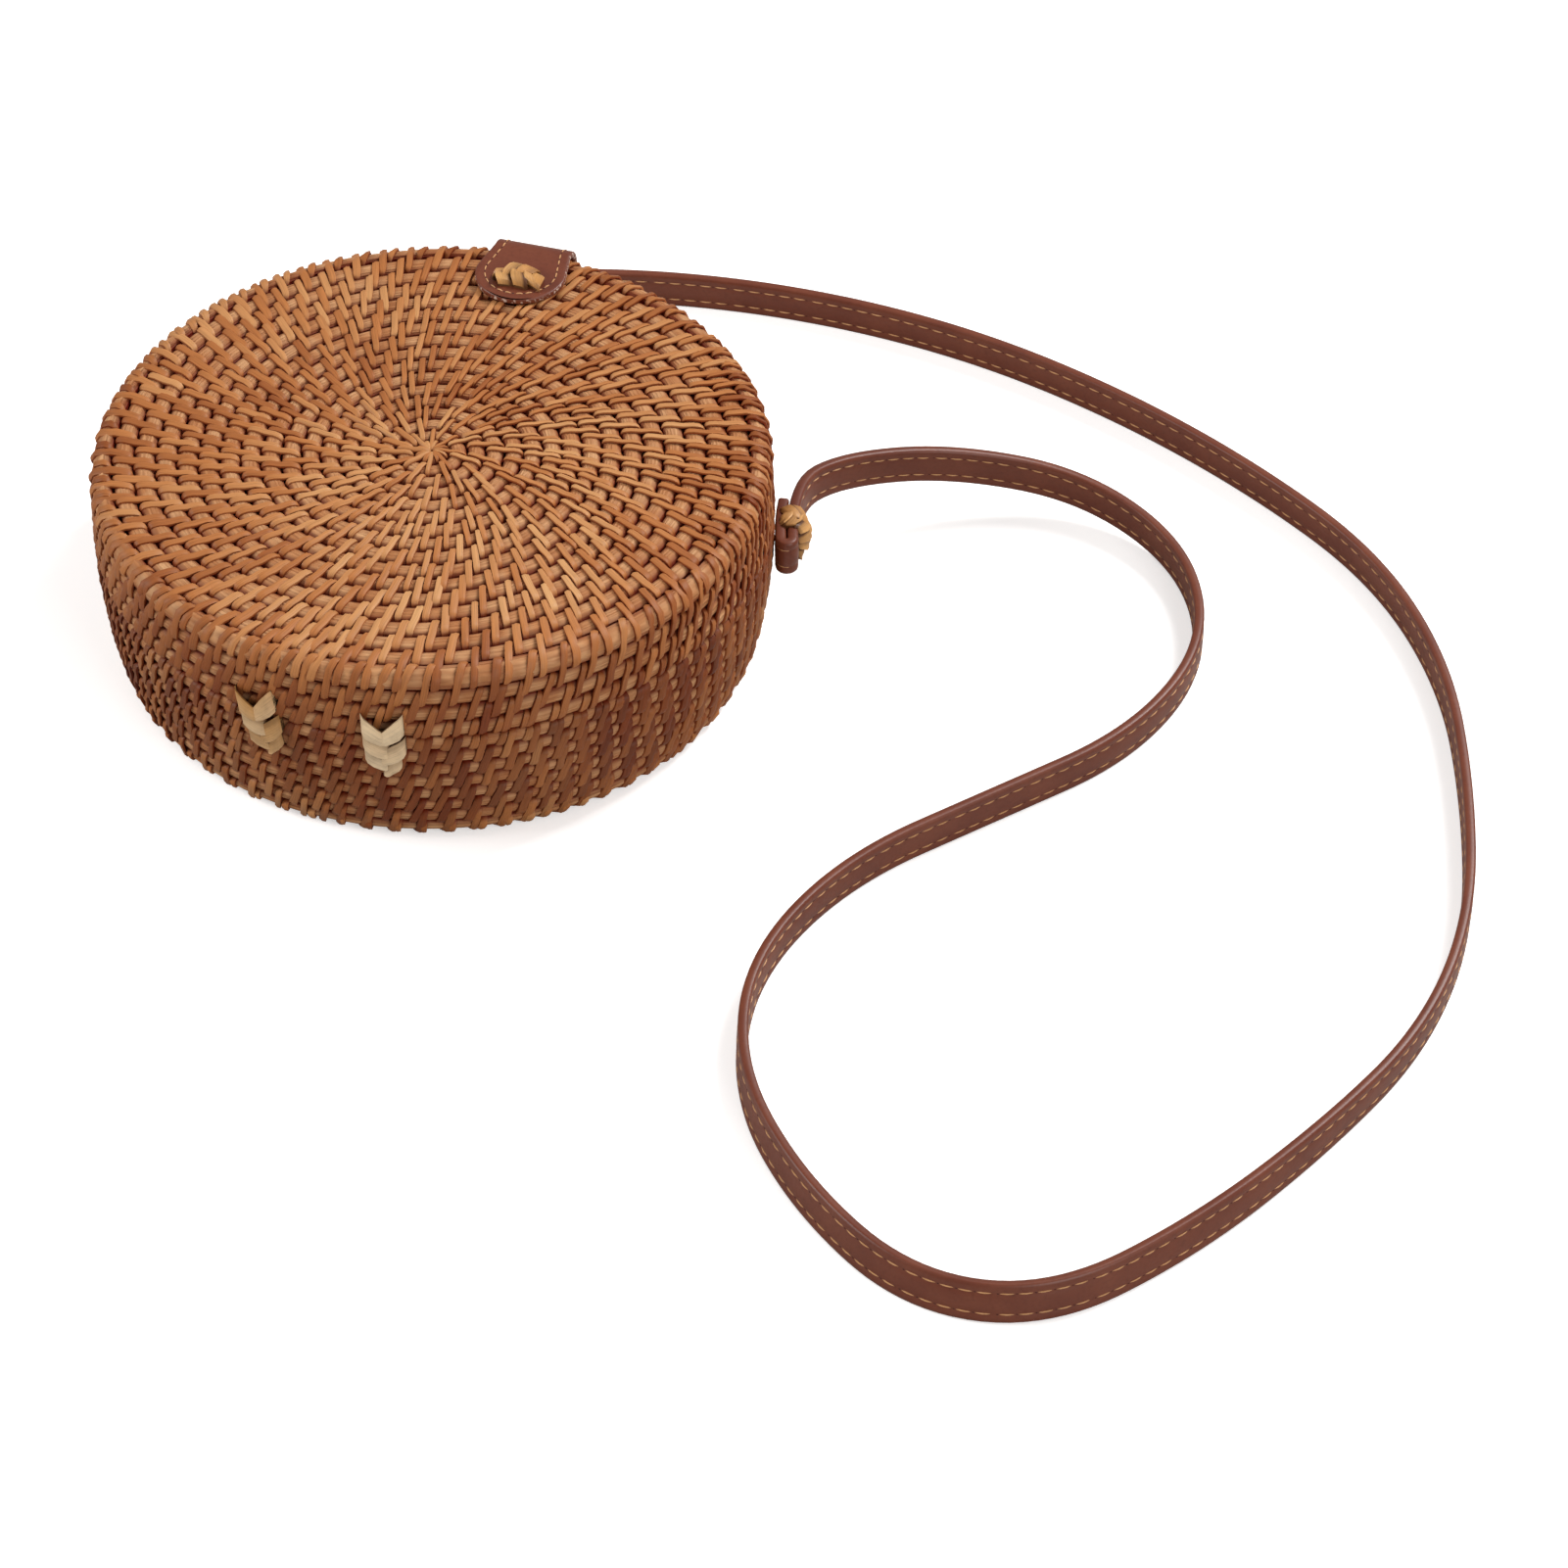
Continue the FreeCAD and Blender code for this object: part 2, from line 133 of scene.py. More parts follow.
for lamp_name, place, target, size, power in lamps:
    lamp = bpy.data.lights.new(lamp_name, "AREA")
    lamp.size = size
    lamp.energy = power
    lamp_object = linked_object(lamp_name, lamp)
    lamp_object.location = place
    aim = Vector(target) - Vector(place)
    lamp_object.rotation_euler = aim.to_track_quat("-Z", "Y").to_euler()

world = bpy.data.worlds.new("studio_air")
bpy.context.scene.world = world
world.use_nodes = True
air = world.node_tree
air.nodes.clear()
in_view = node(air, "LightPath")
air_strength = node(air, "MapRange", {"Value": in_view, "To Min": ambient_strength, "To Max": 1.0})
air_light = node(air, "Background", {"Color": paper_white, "Strength": air_strength})
node(air, "OutputWorld", {"Surface": air_light})

paper, tree = new_material("studio_paper")
in_view = node(tree, "LightPath")
paper_colour = node(tree, "Mix", {0: in_view, 6: paper_bounce, 7: paper_white}, **in_colour)
paper_diffuse = node(tree, "BsdfDiffuse", {"Color": paper_colour})
glow = node(tree, "Math", {0: in_view, 1: paper_glow}, operation="MULTIPLY")
paper_light = node(tree, "Emission", {"Color": paper_white, "Strength": glow})
paper_shader = node(tree, "AddShader", {0: paper_diffuse, 1: paper_light})
node(tree, "OutputMaterial", {"Surface": paper_shader})
floor_mesh = bpy.data.meshes.new("studio_floor")
bm = bmesh.new()
bmesh.ops.create_grid(bm, x_segments=1, y_segments=1, size=floor_half_size)
bm.to_mesh(floor_mesh)
bm.free()
floor_mesh.materials.append(paper)
linked_object("studio_floor", floor_mesh)

# Coils: each shell is a dish of rattan core, wound row on row from the middle of its face, round the
# corner and along its wall. The core is pale, flattened and ribbed along its length.
bag_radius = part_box("front_wall_coil")[1].x
bag_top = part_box("front_face_coil")[1].z
seam_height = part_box("front_wall_coil")[0].z
lid_draw_in = bag_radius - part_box("front_face_coil")[1].x
base_draw_in = bag_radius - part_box("back_face_coil")[1].x
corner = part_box("back_wall_coil")[0].z
corner_steps = 8
wall_steps = 12
slope_span = 0.0020
face_rows = 16
row_widening = 0.115
lid_wall_rows = 3
back_wall_rows = 7
core_fill = 0.95
core_half_thickness = 0.0024
core_depth = 0.00055
core_sides = 14
core_squareness = 2.6
core_step = 0.0062
core_least_steps = 24
# Painted shade: the core's flanks darken below core_shade_from, where they turn into the gaps.
core_shade_from = 0.94
core_shade_gain = 2.1
lid_wall_stain = 0.0
base_wall_stain = 0.14
lid_rim_crest = 0.0010
splint_stand = 0.0006
wobble = 0.00022
wobble_length = 0.021
core_rib = 0.00118
core_streak = 0.0006
core_streaks_round = 6
core_patch = 0.007
core_pale = "#d19e70"
core_warm = "#bc8052"
core_shade = "#84431d"
core_stained = "#8a4c2a"
# Painted shade in the gaps: its colour, and the reach and samples of the ambient occlusion that places it.
painted_gap_shade = "#6e1603"
gap_reach = 0.0022
gap_samples = 6


def dish_outline(face_height, way, draw_in):
    """Points (radius, height) down a dish's outside: across its face, round the corner, along its wall."""
    start = bag_radius - draw_in
    points = [(0.0, face_height), (start - corner, face_height)]
    for step in range(1, corner_steps + 1):
        turn = math.pi / 2 * step / corner_steps
        drop = corner * (1 - math.cos(turn))
        points.append((start - corner + corner * math.sin(turn), face_height - way * drop))
    depth = abs(face_height - seam_height) - corner
    for step in range(1, wall_steps + 1):
        rise = step / wall_steps
        points.append((bag_radius - draw_in * (1 - rise) ** 2, face_height - way * (corner + depth * rise)))
    return points


class Dish:
    """The outside surface of one shell, read by reach along its outline, angle and lift off the surface."""

    def __init__(self, face_height, way, draw_in, wall_rows, rim_crest):
        self.way = way
        self.rim_crest = rim_crest
        self.points = dish_outline(face_height, way, draw_in)
        self.reaches = [0.0]
        for a, b in zip(self.points, self.points[1:]):
            self.reaches.append(self.reaches[-1] + math.dist(a, b))
        face_end = self.reaches[1]
        rim_end = self.reaches[1 + corner_steps]
        wall = self.reaches[-1] - rim_end
        shares = [row / face_rows for row in range(face_rows + 1)]
        self.edges = [face_end * ((1 - row_widening) * share + row_widening * share ** 2) for share in shares]
        self.edges += [rim_end + wall * row / wall_rows for row in range(wall_rows + 1)]
        self.rows = len(self.edges) - 1

    def flat(self, reach):
        """The outline's (radius, height) at a reach, run on in line past its ends."""
        last = len(self.reaches) - 2
        i = 0
        while i < last and self.reaches[i + 1] < reach:
            i += 1
        share = (reach - self.reaches[i]) / (self.reaches[i + 1] - self.reaches[i])
        (r0, z0), (r1, z1) = self.points[i], self.points[i + 1]
        return r0 + (r1 - r0) * share, z0 + (z1 - z0) * share

    def slope(self, reach):
        """Unit direction along the outline, as (radius, height)."""
        r0, z0 = self.flat(reach - slope_span)
        r1, z1 = self.flat(reach + slope_span)
        size = math.hypot(r1 - r0, z1 - z0)
        return (r1 - r0) / size, (z1 - z0) / size

    def at(self, reach, angle, lift):
        r, z = self.flat(reach)
        along_r, along_z = self.slope(reach)
        out_r = r - self.way * along_z * lift
        return Vector((out_r * math.cos(angle), out_r * math.sin(angle), z + self.way * along_r * lift))

    def middle(self, row):
        return (self.edges[row] + self.edges[row + 1]) / 2

    def pitch(self, row):
        return self.edges[row + 1] - self.edges[row]

    def crest(self, row):
        """How far a row stands proud: only the row round the corner does."""
        return self.rim_crest if row == face_rows else 0.0


lid = Dish(bag_top, 1, lid_draw_in, lid_wall_rows, lid_rim_crest)
base = Dish(splint_stand, -1, base_draw_in, back_wall_rows, 0.0)

# Rattan core, split and dried: straw brown with ribs along the rod, with painted shade where it turns into
# the gaps.
rattan_core, tree = new_material("rattan_core")
place = node(tree, "TexCoord", out="Object")
apart = node(tree, "SeparateXYZ", {0: place}).node.outputs
flattened = node(tree, "VectorMath", {0: place, 1: (1, 1, 0)}, operation="MULTIPLY")
off_axis = node(tree, "VectorMath", {0: flattened}, "Value", operation="LENGTH")
across = node(tree, "Math", {0: off_axis, 1: apart["Z"]}, operation="ADD")
round_axis = node(tree, "Math", {0: apart["Y"], 1: apart["X"]}, operation="ARCTAN2")
rib_turn = node(tree, "Math", {0: across, 1: 2 * math.pi / core_rib}, operation="MULTIPLY")
rib_wave = node(tree, "Math", {0: rib_turn}, operation="SINE")
streak_place = node(tree, "CombineXYZ", {0: across, 1: round_axis})
streak_grain = (1 / core_streak, core_streaks_round, 0)
streak_scale = node(tree, "VectorMath", {0: streak_place, 1: streak_grain}, operation="MULTIPLY")
streaks = node(tree, "TexNoise", {"Vector": streak_scale, "Scale": 1.0, "Detail": 2.0})
streak_share = node(tree, "MapRange", {"Value": streaks, "From Min": 0.62, "From Max": 0.34, "To Max": 0.5})
patches = node(tree, "TexNoise", {"Vector": place, "Scale": 1 / core_patch, "Detail": 1.0})
patch_share = node(tree, "MapRange", {"Value": patches, "From Min": 0.38, "From Max": 0.64})
stain = node(tree, "Attribute", out="Fac", attribute_name="stain")
# Painted shade: depth darkens the flanks that turn into the gaps, and the ambient occlusion darkens hemmed-in
# spots.
deep = node(tree, "Attribute", out="Fac", attribute_name="depth")
open_air = node(tree, "AmbientOcclusion", {"Distance": gap_reach}, "AO", samples=gap_samples)
occlusion_shade = node(tree, "MapRange", {"Value": open_air, "From Min": 0.70, "From Max": 0.20, "To Max": 0.90})
core_colour = node(tree, "Mix", {0: patch_share, 6: core_warm, 7: core_pale}, **in_colour)
for share, over in ((streak_share, core_shade), (stain, core_stained), (deep, painted_gap_shade), (occlusion_shade, painted_gap_shade)):
    core_colour = node(tree, "Mix", {0: share, 6: core_colour, 7: over}, **in_colour)
rib_height = node(tree, "Math", {0: rib_wave, 1: streaks}, operation="ADD")
rib_bump = node(tree, "Bump", {"Height": rib_height, "Strength": 0.55, "Distance": 0.0002})
core_finish = {"Base Color": core_colour, "Roughness": 0.62, "Specular IOR Level": 0.2, "Normal": rib_bump}
node(tree, "OutputMaterial", {"Surface": node(tree, "BsdfPrincipled", core_finish)})


def finished(name, bm, materials, crease=40.0):
    """Turns a bmesh into a piece with its materials, smooth but for edges sharper than the crease."""
    bmesh.ops.recalc_face_normals(bm, faces=bm.faces)
    mesh = bpy.data.meshes.new(name)
    bm.to_mesh(mesh)
    bm.free()
    for material in materials:
        mesh.materials.append(material)
    mesh.shade_smooth()
    mesh.set_sharp_from_angle(angle=math.radians(crease))
    return linked_object(name, mesh)


def spun(bm, geom, steps):
    """Spins a section once round the bag's axis."""
    bmesh.ops.spin(
        bm, geom=geom, cent=(0, 0, 0), axis=(0, 0, 1), angle=2 * math.pi, steps=steps, use_merge=True
    )


def wound_core(dish, wall_stain):
    """A dish's rows of core, each one spun round the bag's axis from its flattened section."""
    bm = bmesh.new()
    depth_shade_layer = bm.verts.layers.float.new("depth")
    stain_layer = bm.verts.layers.float.new("stain")
    power = core_squareness
    for row in range(dish.rows):
        half_width = dish.pitch(row) / 2 * core_fill
        ring = bmesh.ops.create_circle(bm, segments=core_sides, radius=1.0)["verts"]
        for vert in ring:
            flat = vert.co / (abs(vert.co.x) ** power + abs(vert.co.y) ** power) ** (1 / power)
            lift = (flat.y - 1) * core_half_thickness - core_depth + dish.crest(row)
            open_side = row == dish.rows - 1 and flat.x > 0
            # Painted shade on the flanks that turn into the gaps, but not on the last row's open side.
            turned_in_shade = min(1.0, max(0.0, core_shade_from - flat.y) * core_shade_gain)
            vert[depth_shade_layer] = 0.0 if open_side else turned_in_shade
            vert[stain_layer] = wall_stain if row > face_rows else 0.0
            vert.co = dish.at(dish.middle(row) + flat.x * half_width, 0.0, lift)
        edges = list({edge for vert in ring for edge in vert.link_edges})
        steps = max(core_least_steps, round(2 * math.pi * dish.flat(dish.middle(row))[0] / core_step))
        spun(bm, ring + edges, steps)
    for vert in bm.verts:
        vert.co.z += wobble * noise.noise(vert.co / wobble_length)
    return bm


lid_core = finished("lid_core", wound_core(lid, lid_wall_stain), [rattan_core])
base_core = finished("base_core", wound_core(base, base_wall_stain), [rattan_core])
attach(lid_core, "front_shell")
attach(base_core, "back_shell")

# Splints: flat strips of rattan peel that bind the coils. Each one comes up between two rows, crosses two
# rows and goes down again. It stands about two thirds of the way between two splints of the row before, so
# the splints run in curved chains.
splint_thickness = 0.00088
splint_width_middle = 0.0014
splint_width_rim = 0.0023
splint_full_width_radius = 0.090
middle_splints = 8
middle_spread = 0.1
splint_spacing = (0.0044, 0.050, -0.165)
row_stagger = 0.69
gap_choice_spread = 0.3
gap_evening = 0.25
least_drift_radius = 0.004
least_turn_radius = 0.0015
least_reach = 0.0003
face_lean = 10.0
wall_lean = 17.0
lean_spread = 4.5
splint_roll = 9.0
roll_spread = 5.0
lift_spread = 0.00014
width_spread = 0.12
splint_section = ((-0.5, -0.95), (-0.47, -0.12), (0.0, 0.20), (0.47, -0.12), (0.5, -0.95))
splint_crest = 0.00025
# Painted shade: splint_side_shade darkens each splint's sides, and end_shade_from and end_shade_run its ends
# where they dive into the gaps.
splint_side_shade = 0.85
splint_end = ((1.06, -0.0025, 0.60), (0.95, -0.0013, 0.78), (0.80, -0.00046, 0.92), (0.56, 0.00003, 1.0))
splint_hook = 45.0
splint_fade = 0.26
end_shade_from = 0.0005
end_shade_run = 0.0014
tone_usual = 0.60
tone_spread = 0.20
broad_patch = 0.045
broad_patch_depth = 0.30
small_patch = 0.018
small_patch_depth = 0.16
small_patch_shift = Vector((7, 3, 1))
rim_shade = 0.20
rim_shade_from = 0.72
wall_shade = 0.10
lid_redness = 0.30
base_redness = 1.0
red_splints = 0.26
very_red = (0.55, 0.80)
less_red = (0.15, 0.55)
splint_crease = 55.0
peel_dark = "#843f1a"
peel_mid = "#b87440"
peel_light = "#d6a06a"
peel_ruddy = "#602a16"
fibre_width = 0.00032
fibre_length = 0.011
fibre_grain = (1 / fibre_width, 1 / fibre_length, 0)


def splint_count(radius):
    """How many splints a row of this radius takes: they are set closer near the middle of the face."""
    least, growth, easing = splint_spacing
    spacing = least + growth * radius + easing * radius ** 2
    return max(middle_splints, round(2 * math.pi * radius / spacing))


def splint_angles(before, count, drift, dice):
    """Angles of one row's splints, between those of the row before, with more let in at the widest gaps."""
    total = len(before)
    gaps = [(before[(i + 1) % total] - before[i]) % (2 * math.pi) for i in range(total)]
    weighed = sorted(range(total), key=lambda i: -gaps[i] * (1 + gap_choice_spread * dice.random()))
    widened = set(weighed[:max(0, count - total)])
    angles = []
    for i in range(total):
        shares = (1 / 3, 2 / 3) if i in widened else (row_stagger,)
        angles += [before[i] + gaps[i] * share + drift for share in shares]
    evened = []
    for i, angle in enumerate(angles):
        ahead = (angles[(i + 1) % len(angles)] - angle) % (2 * math.pi)
        behind = (angle - angles[i - 1]) % (2 * math.pi)
        evened.append(angle + gap_evening * (ahead - behind))
    return evened


def skin(bm, rings, first_along=0.0, uv_layer=None, across=None):
    """Closes rings of points, all with the same count, into one tube with flat ends."""
    loops = [[bm.verts.new(point) for point in ring] for ring in rings]
    count = len(rings[0])
    along = first_along
    for before, after, ring, following in zip(loops, loops[1:], rings, rings[1:]):
        step = (sum(following, Vector()) - sum(ring, Vector())).length / count
        for i in range(count):
            j = (i + 1) % count
            face = bm.faces.new((before[i], before[j], after[j], after[i]))
            if uv_layer:
                near, far = along, along + step
                corners = ((across[i], near), (across[i + 1], near), (across[i + 1], far), (across[i], far))
                for loop, mark in zip(face.loops, corners):
                    loop[uv_layer].uv = mark
        along += step
    bm.faces.new(loops[0])
    bm.faces.new(list(reversed(loops[-1])))
    return loops


def splint_stations(dish, row, last):
    """Reach, lift and fullness at each station of a splint that starts at one row and ends at another."""
    first_middle, last_middle = dish.middle(row), dish.middle(last)
    first_half, last_half = dish.pitch(row) / 2, dish.pitch(last) / 2
    first_crest, last_crest = dish.crest(row), dish.crest(last)
    stations = []
    for share, lift, fullness in splint_end:
        stations.append((first_middle - share * first_half, lift + first_crest, fullness))
    stations.append((first_middle, splint_crest + first_crest, 1.0))
    if last > row:
        stations.append((dish.edges[last], (first_crest + last_crest) / 2, 1.0))
        stations.append((last_middle, splint_crest + last_crest, 1.0))
    for share, lift, fullness in reversed(splint_end):
        stations.append((last_middle + share * last_half, lift + last_crest, (1 + fullness) / 2))
    return stations


def splint_rings(dish, stations, angle, lean, roll, width, lift, anchor):
    """Sections of one splint, laid along its stations at a slant and rolled a little to one side."""
    centres = []
    for reach, height, fullness in stations:
        radius = max(dish.flat(reach)[0], least_turn_radius)
        aside = math.tan(lean) * (anchor - reach) + splint_hook * max(0.0, anchor - reach) ** 2
        turn = angle + dish.way * aside / radius
        held = max(reach, least_reach)
        centres.append((held, turn, dish.at(held, turn, height + lift)))
    rings = []
    for i, (reach, turn, centre) in enumerate(centres):
        ahead = centres[min(i + 1, len(centres) - 1)][2]
        behind = centres[max(i - 1, 0)][2]
        along = (ahead - behind).normalized()
        sideways = Vector((-math.sin(turn), math.cos(turn), 0)) * dish.way
        sideways = (sideways - along * sideways.dot(along)).normalized()
        outward = sideways.cross(along)
        if outward.dot(dish.at(reach, turn, splint_thickness) - dish.at(reach, turn, 0)) < 0:
            outward.negate()
        tilted = sideways - outward * math.tan(roll)
        breadth = width * stations[i][2]
        ring = [centre + tilted * x * breadth + outward * y * splint_thickness for x, y in splint_section]
        rings.append(ring)
    return rings


def splint_tone(centre, wall_share, dice):
    """How pale a splint is, 0 to 1: peel differs strip to strip and in broad patches; painted shade darkens
    rim and wall.
    """
    patch = noise.noise(centre / broad_patch) * broad_patch_depth
    patch += noise.noise(centre / small_patch + small_patch_shift) * small_patch_depth
    radius = math.hypot(centre.x, centre.y) / bag_radius
    # Painted shade: the face darker towards its rim, and the wall darker still, as they turn away from the
    # lamp above.
    rim = rim_shade * max(0.0, radius - rim_shade_from) / (1 - rim_shade_from)
    return tone_usual + patch - rim - wall_shade * wall_share + dice.uniform(-tone_spread, tone_spread)


def bound_splints(dish, ruddy_share, seed):
    """All the splints of one shell."""
    dice = random.Random(seed)
    bm = bmesh.new()
    fibre = bm.loops.layers.uv.new("fibre")
    tone_layer = bm.verts.layers.float.new("tone")
    ruddy_layer = bm.verts.layers.float.new("ruddy")
    depth_shade_layer = bm.verts.layers.float.new("depth")
    spread = (-middle_spread, middle_spread)
    before = [2 * math.pi * i / middle_splints + dice.uniform(*spread) for i in range(middle_splints)]
    for row in range(-1, dish.rows):
        first = max(row, 0)
        last = 0 if row < 0 else min(row + 1, dish.rows - 1)
        reach = dish.middle(first)
        radius = dish.flat(reach)[0]
        wall_share = min(1.0, max(0.0, (row - face_rows + 1) / 2))
        lean = face_lean + (wall_lean - face_lean) * wall_share
        if row >= 0:
            forward = math.tan(math.radians(lean)) * dish.pitch(first)
            drift = -dish.way * forward / max(radius, least_drift_radius)
            before = splint_angles(before, splint_count(radius), drift, dice)
        fullness = min(1.0, radius / splint_full_width_radius)
        usual_width = splint_width_middle + (splint_width_rim - splint_width_middle) * fullness
        stations = splint_stations(dish, first, last)
        for angle in before:
            slant = math.radians(lean + dice.uniform(-lean_spread, lean_spread))
            roll = math.radians(splint_roll + dice.uniform(-roll_spread, roll_spread))
            width = usual_width * (1 + dice.uniform(-width_spread, width_spread))
            lift = dice.uniform(-lift_spread, lift_spread)
            rings = splint_rings(dish, stations, angle, slant, roll, width, lift, reach)
            marks = [width * x for x, y in splint_section] + [width]
            loops = skin(bm, rings, dice.random(), fibre, marks)
            tone = splint_tone(dish.at(reach, angle, 0), wall_share, dice)
            redness = dice.uniform(*(very_red if dice.random() < red_splints else less_red))
            ruddy = wall_share * ruddy_share * redness
            for i, (loop, (station, height, fullness)) in enumerate(zip(loops, stations)):
                # Painted shade on the ends that dive into the gaps and on each splint's sides.
                sunk_shade = min(1.0, max(0.0, -height - end_shade_from) / end_shade_run)
                fade = splint_fade * (0.5 - i / (len(stations) - 1))
                for vert, (x, y) in zip(loop, splint_section):
                    vert[tone_layer] = tone + fade
                    vert[ruddy_layer] = ruddy
                    vert[depth_shade_layer] = max(sunk_shade, splint_side_shade if y < -0.5 else 0.0)
    return bm


# Rattan peel, stained and dried: orange brown, with fine fibres along the strip and a low satin sheen.
rattan_peel, tree = new_material("rattan_peel")
tone = node(tree, "Attribute", out="Fac", attribute_name="tone")
ruddy = node(tree, "Attribute", out="Fac", attribute_name="ruddy")
deep = node(tree, "Attribute", out="Fac", attribute_name="depth")
fibre_map = node(tree, "UVMap", uv_map="fibre")
fibre_scale = node(tree, "VectorMath", {0: fibre_map, 1: fibre_grain}, operation="MULTIPLY")
fibres = node(tree, "TexNoise", {"Vector": fibre_scale, "Scale": 1.0, "Detail": 3.0})
mid_share = node(tree, "MapRange", {"Value": tone, "From Max": 0.5})
light_share = node(tree, "MapRange", {"Value": tone, "From Min": 0.5, "From Max": 1.0})
peel_colour = node(tree, "Mix", {0: mid_share, 6: peel_dark, 7: peel_mid}, **in_colour)
for share, over in ((light_share, peel_light), (ruddy, peel_ruddy)):
    peel_colour = node(tree, "Mix", {0: share, 6: peel_colour, 7: over}, **in_colour)
fibre_range = {"From Min": 0.3, "From Max": 0.7, "To Min": 0.78, "To Max": 1.10}
fibre_shade = node(tree, "MapRange", {"Value": fibres, **fibre_range})
peel_colour = node(tree, "VectorMath", {0: peel_colour, 1: fibre_shade}, operation="MULTIPLY")
# Painted shade: depth darkens the sides and dived ends, and the ambient occlusion darkens hemmed-in spots.
open_air = node(tree, "AmbientOcclusion", {"Distance": gap_reach}, "AO", samples=gap_samples)
occlusion_shade = node(tree, "MapRange", {"Value": open_air, "From Min": 0.65, "From Max": 0.15, "To Max": 0.7})
for share in (deep, occlusion_shade):
    peel_colour = node(tree, "Mix", {0: share, 6: peel_colour, 7: painted_gap_shade}, **in_colour)
fibre_bump = node(tree, "Bump", {"Height": fibres, "Strength": 0.3, "Distance": 0.00014})
peel_finish = {"Base Color": peel_colour, "Roughness": 0.5, "Specular IOR Level": 0.25, "Normal": fibre_bump}
node(tree, "OutputMaterial", {"Surface": node(tree, "BsdfPrincipled", peel_finish)})

lid_strips = bound_splints(lid, lid_redness, seed=11)
lid_splints = finished("lid_splints", lid_strips, [rattan_peel], splint_crease)
base_strips = bound_splints(base, base_redness, seed=23)
base_splints = finished("base_splints", base_strips, [rattan_peel], splint_crease)
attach(lid_splints, "front_shell")
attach(base_splints, "back_shell")
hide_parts("front_face_coil", "front_wall_coil")
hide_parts("back_face_coil", "back_wall_coil")

# Linings: unbleached cotton, a round panel and a band in each shell, stretched and glued in so that they
# lie smooth against the coils. They show only when the bag is open.
lining_gap = 0.0005
lining_ripple = 0.00018
lining_ripple_length = 0.013
lining_rings = 14
lining_turns = 120
thread_spacing = 0.0011
slub_length = 0.004
cotton_light = "#d8c7a6"
cotton_dark = "#b7a17c"

# Unbleached cotton, plain woven: cream and matt, with a faint grid of threads and uneven slubs.
unbleached_cotton, tree = new_material("unbleached_cotton")
thread_map = node(tree, "UVMap", uv_map="cloth")
thread_turns = (math.pi / thread_spacing, math.pi / thread_spacing, 0)
thread_scale = node(tree, "VectorMath", {0: thread_map, 1: thread_turns}, operation="MULTIPLY")
threads = node(tree, "SeparateXYZ", {0: thread_scale}).node.outputs
warp = node(tree, "Math", {0: threads["X"]}, operation="SINE")
weft = node(tree, "Math", {0: threads["Y"]}, operation="SINE")
crossing = node(tree, "Math", {0: warp, 1: weft}, operation="MULTIPLY")
slubs = node(tree, "TexNoise", {"Vector": thread_map, "Scale": 1 / slub_length, "Detail": 3.0})
cloth_share = node(tree, "Math", {0: crossing, 1: 0.25, 2: slubs}, operation="MULTIPLY_ADD")
cloth_colour = node(tree, "Mix", {0: cloth_share, 6: cotton_dark, 7: cotton_light}, **in_colour)
cloth_bump = node(tree, "Bump", {"Height": crossing, "Strength": 0.5, "Distance": 0.0002})
cloth_finish = {"Base Color": cloth_colour, "Roughness": 0.9, "Normal": cloth_bump}
node(tree, "OutputMaterial", {"Surface": node(tree, "BsdfPrincipled", cloth_finish)})


def spun_cloth(name, line):
    """Cloth of revolution from a line of (radius, height) points, with its weave laid out flat."""
    bm = bmesh.new()
    cloth = bm.loops.layers.uv.new("cloth")
    verts = [bm.verts.new((r, 0, z)) for r, z in line]
    edges = [bm.edges.new(pair) for pair in zip(verts, verts[1:])]
    spun(bm, verts + edges, lining_turns)
    bmesh.ops.remove_doubles(bm, verts=bm.verts, dist=1e-6)
    bm.normal_update()
    standing = abs(line[-1][1] - line[0][1]) > abs(line[-1][0] - line[0][0])
    for face in bm.faces:
        middle = math.atan2(face.calc_center_median().y, face.calc_center_median().x)
        for loop in face.loops:
            x, y, z = loop.vert.co
            turn = math.atan2(y, x)
            turn += 2 * math.pi * round((middle - turn) / (2 * math.pi))
            loop[cloth].uv = (turn * math.hypot(x, y), z) if standing else (x, y)
    for vert in bm.verts:
        vert.co += vert.normal * lining_ripple * noise.noise(vert.co / lining_ripple_length)
    return finished(name, bm, [unbleached_cotton])


def lining(shell, word):
    """The panel and the band of one shell's lining."""
    panel_low, panel_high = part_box(word + "_lining_disc")
    band_low, band_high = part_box(word + "_lining_band")
    height = (panel_low.z + panel_high.z) / 2
    radius = panel_high.x
    panel_line = [(radius * i / lining_rings, height) for i in range(lining_rings + 1)]
    panel = spun_cloth(word + "_lining_panel", panel_line)
    band_height = band_high.z - band_low.z
    line = []
    for i in range(lining_rings + 1):
        z = band_low.z + band_height * i / lining_rings
        rise = (z - corner) / (seam_height - corner)
        outside = bag_radius - base_draw_in * max(0.0, 1 - rise) ** 2
        line.append((outside - corner - lining_gap, z))
    band = spun_cloth(word + "_lining_wall", line)
    for piece, node_name in ((panel, "_lining_disc"), (band, "_lining_band")):
        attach(piece, shell)
        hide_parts(word + node_name)


lining("back_shell", "back")
lining("front_shell", "front")

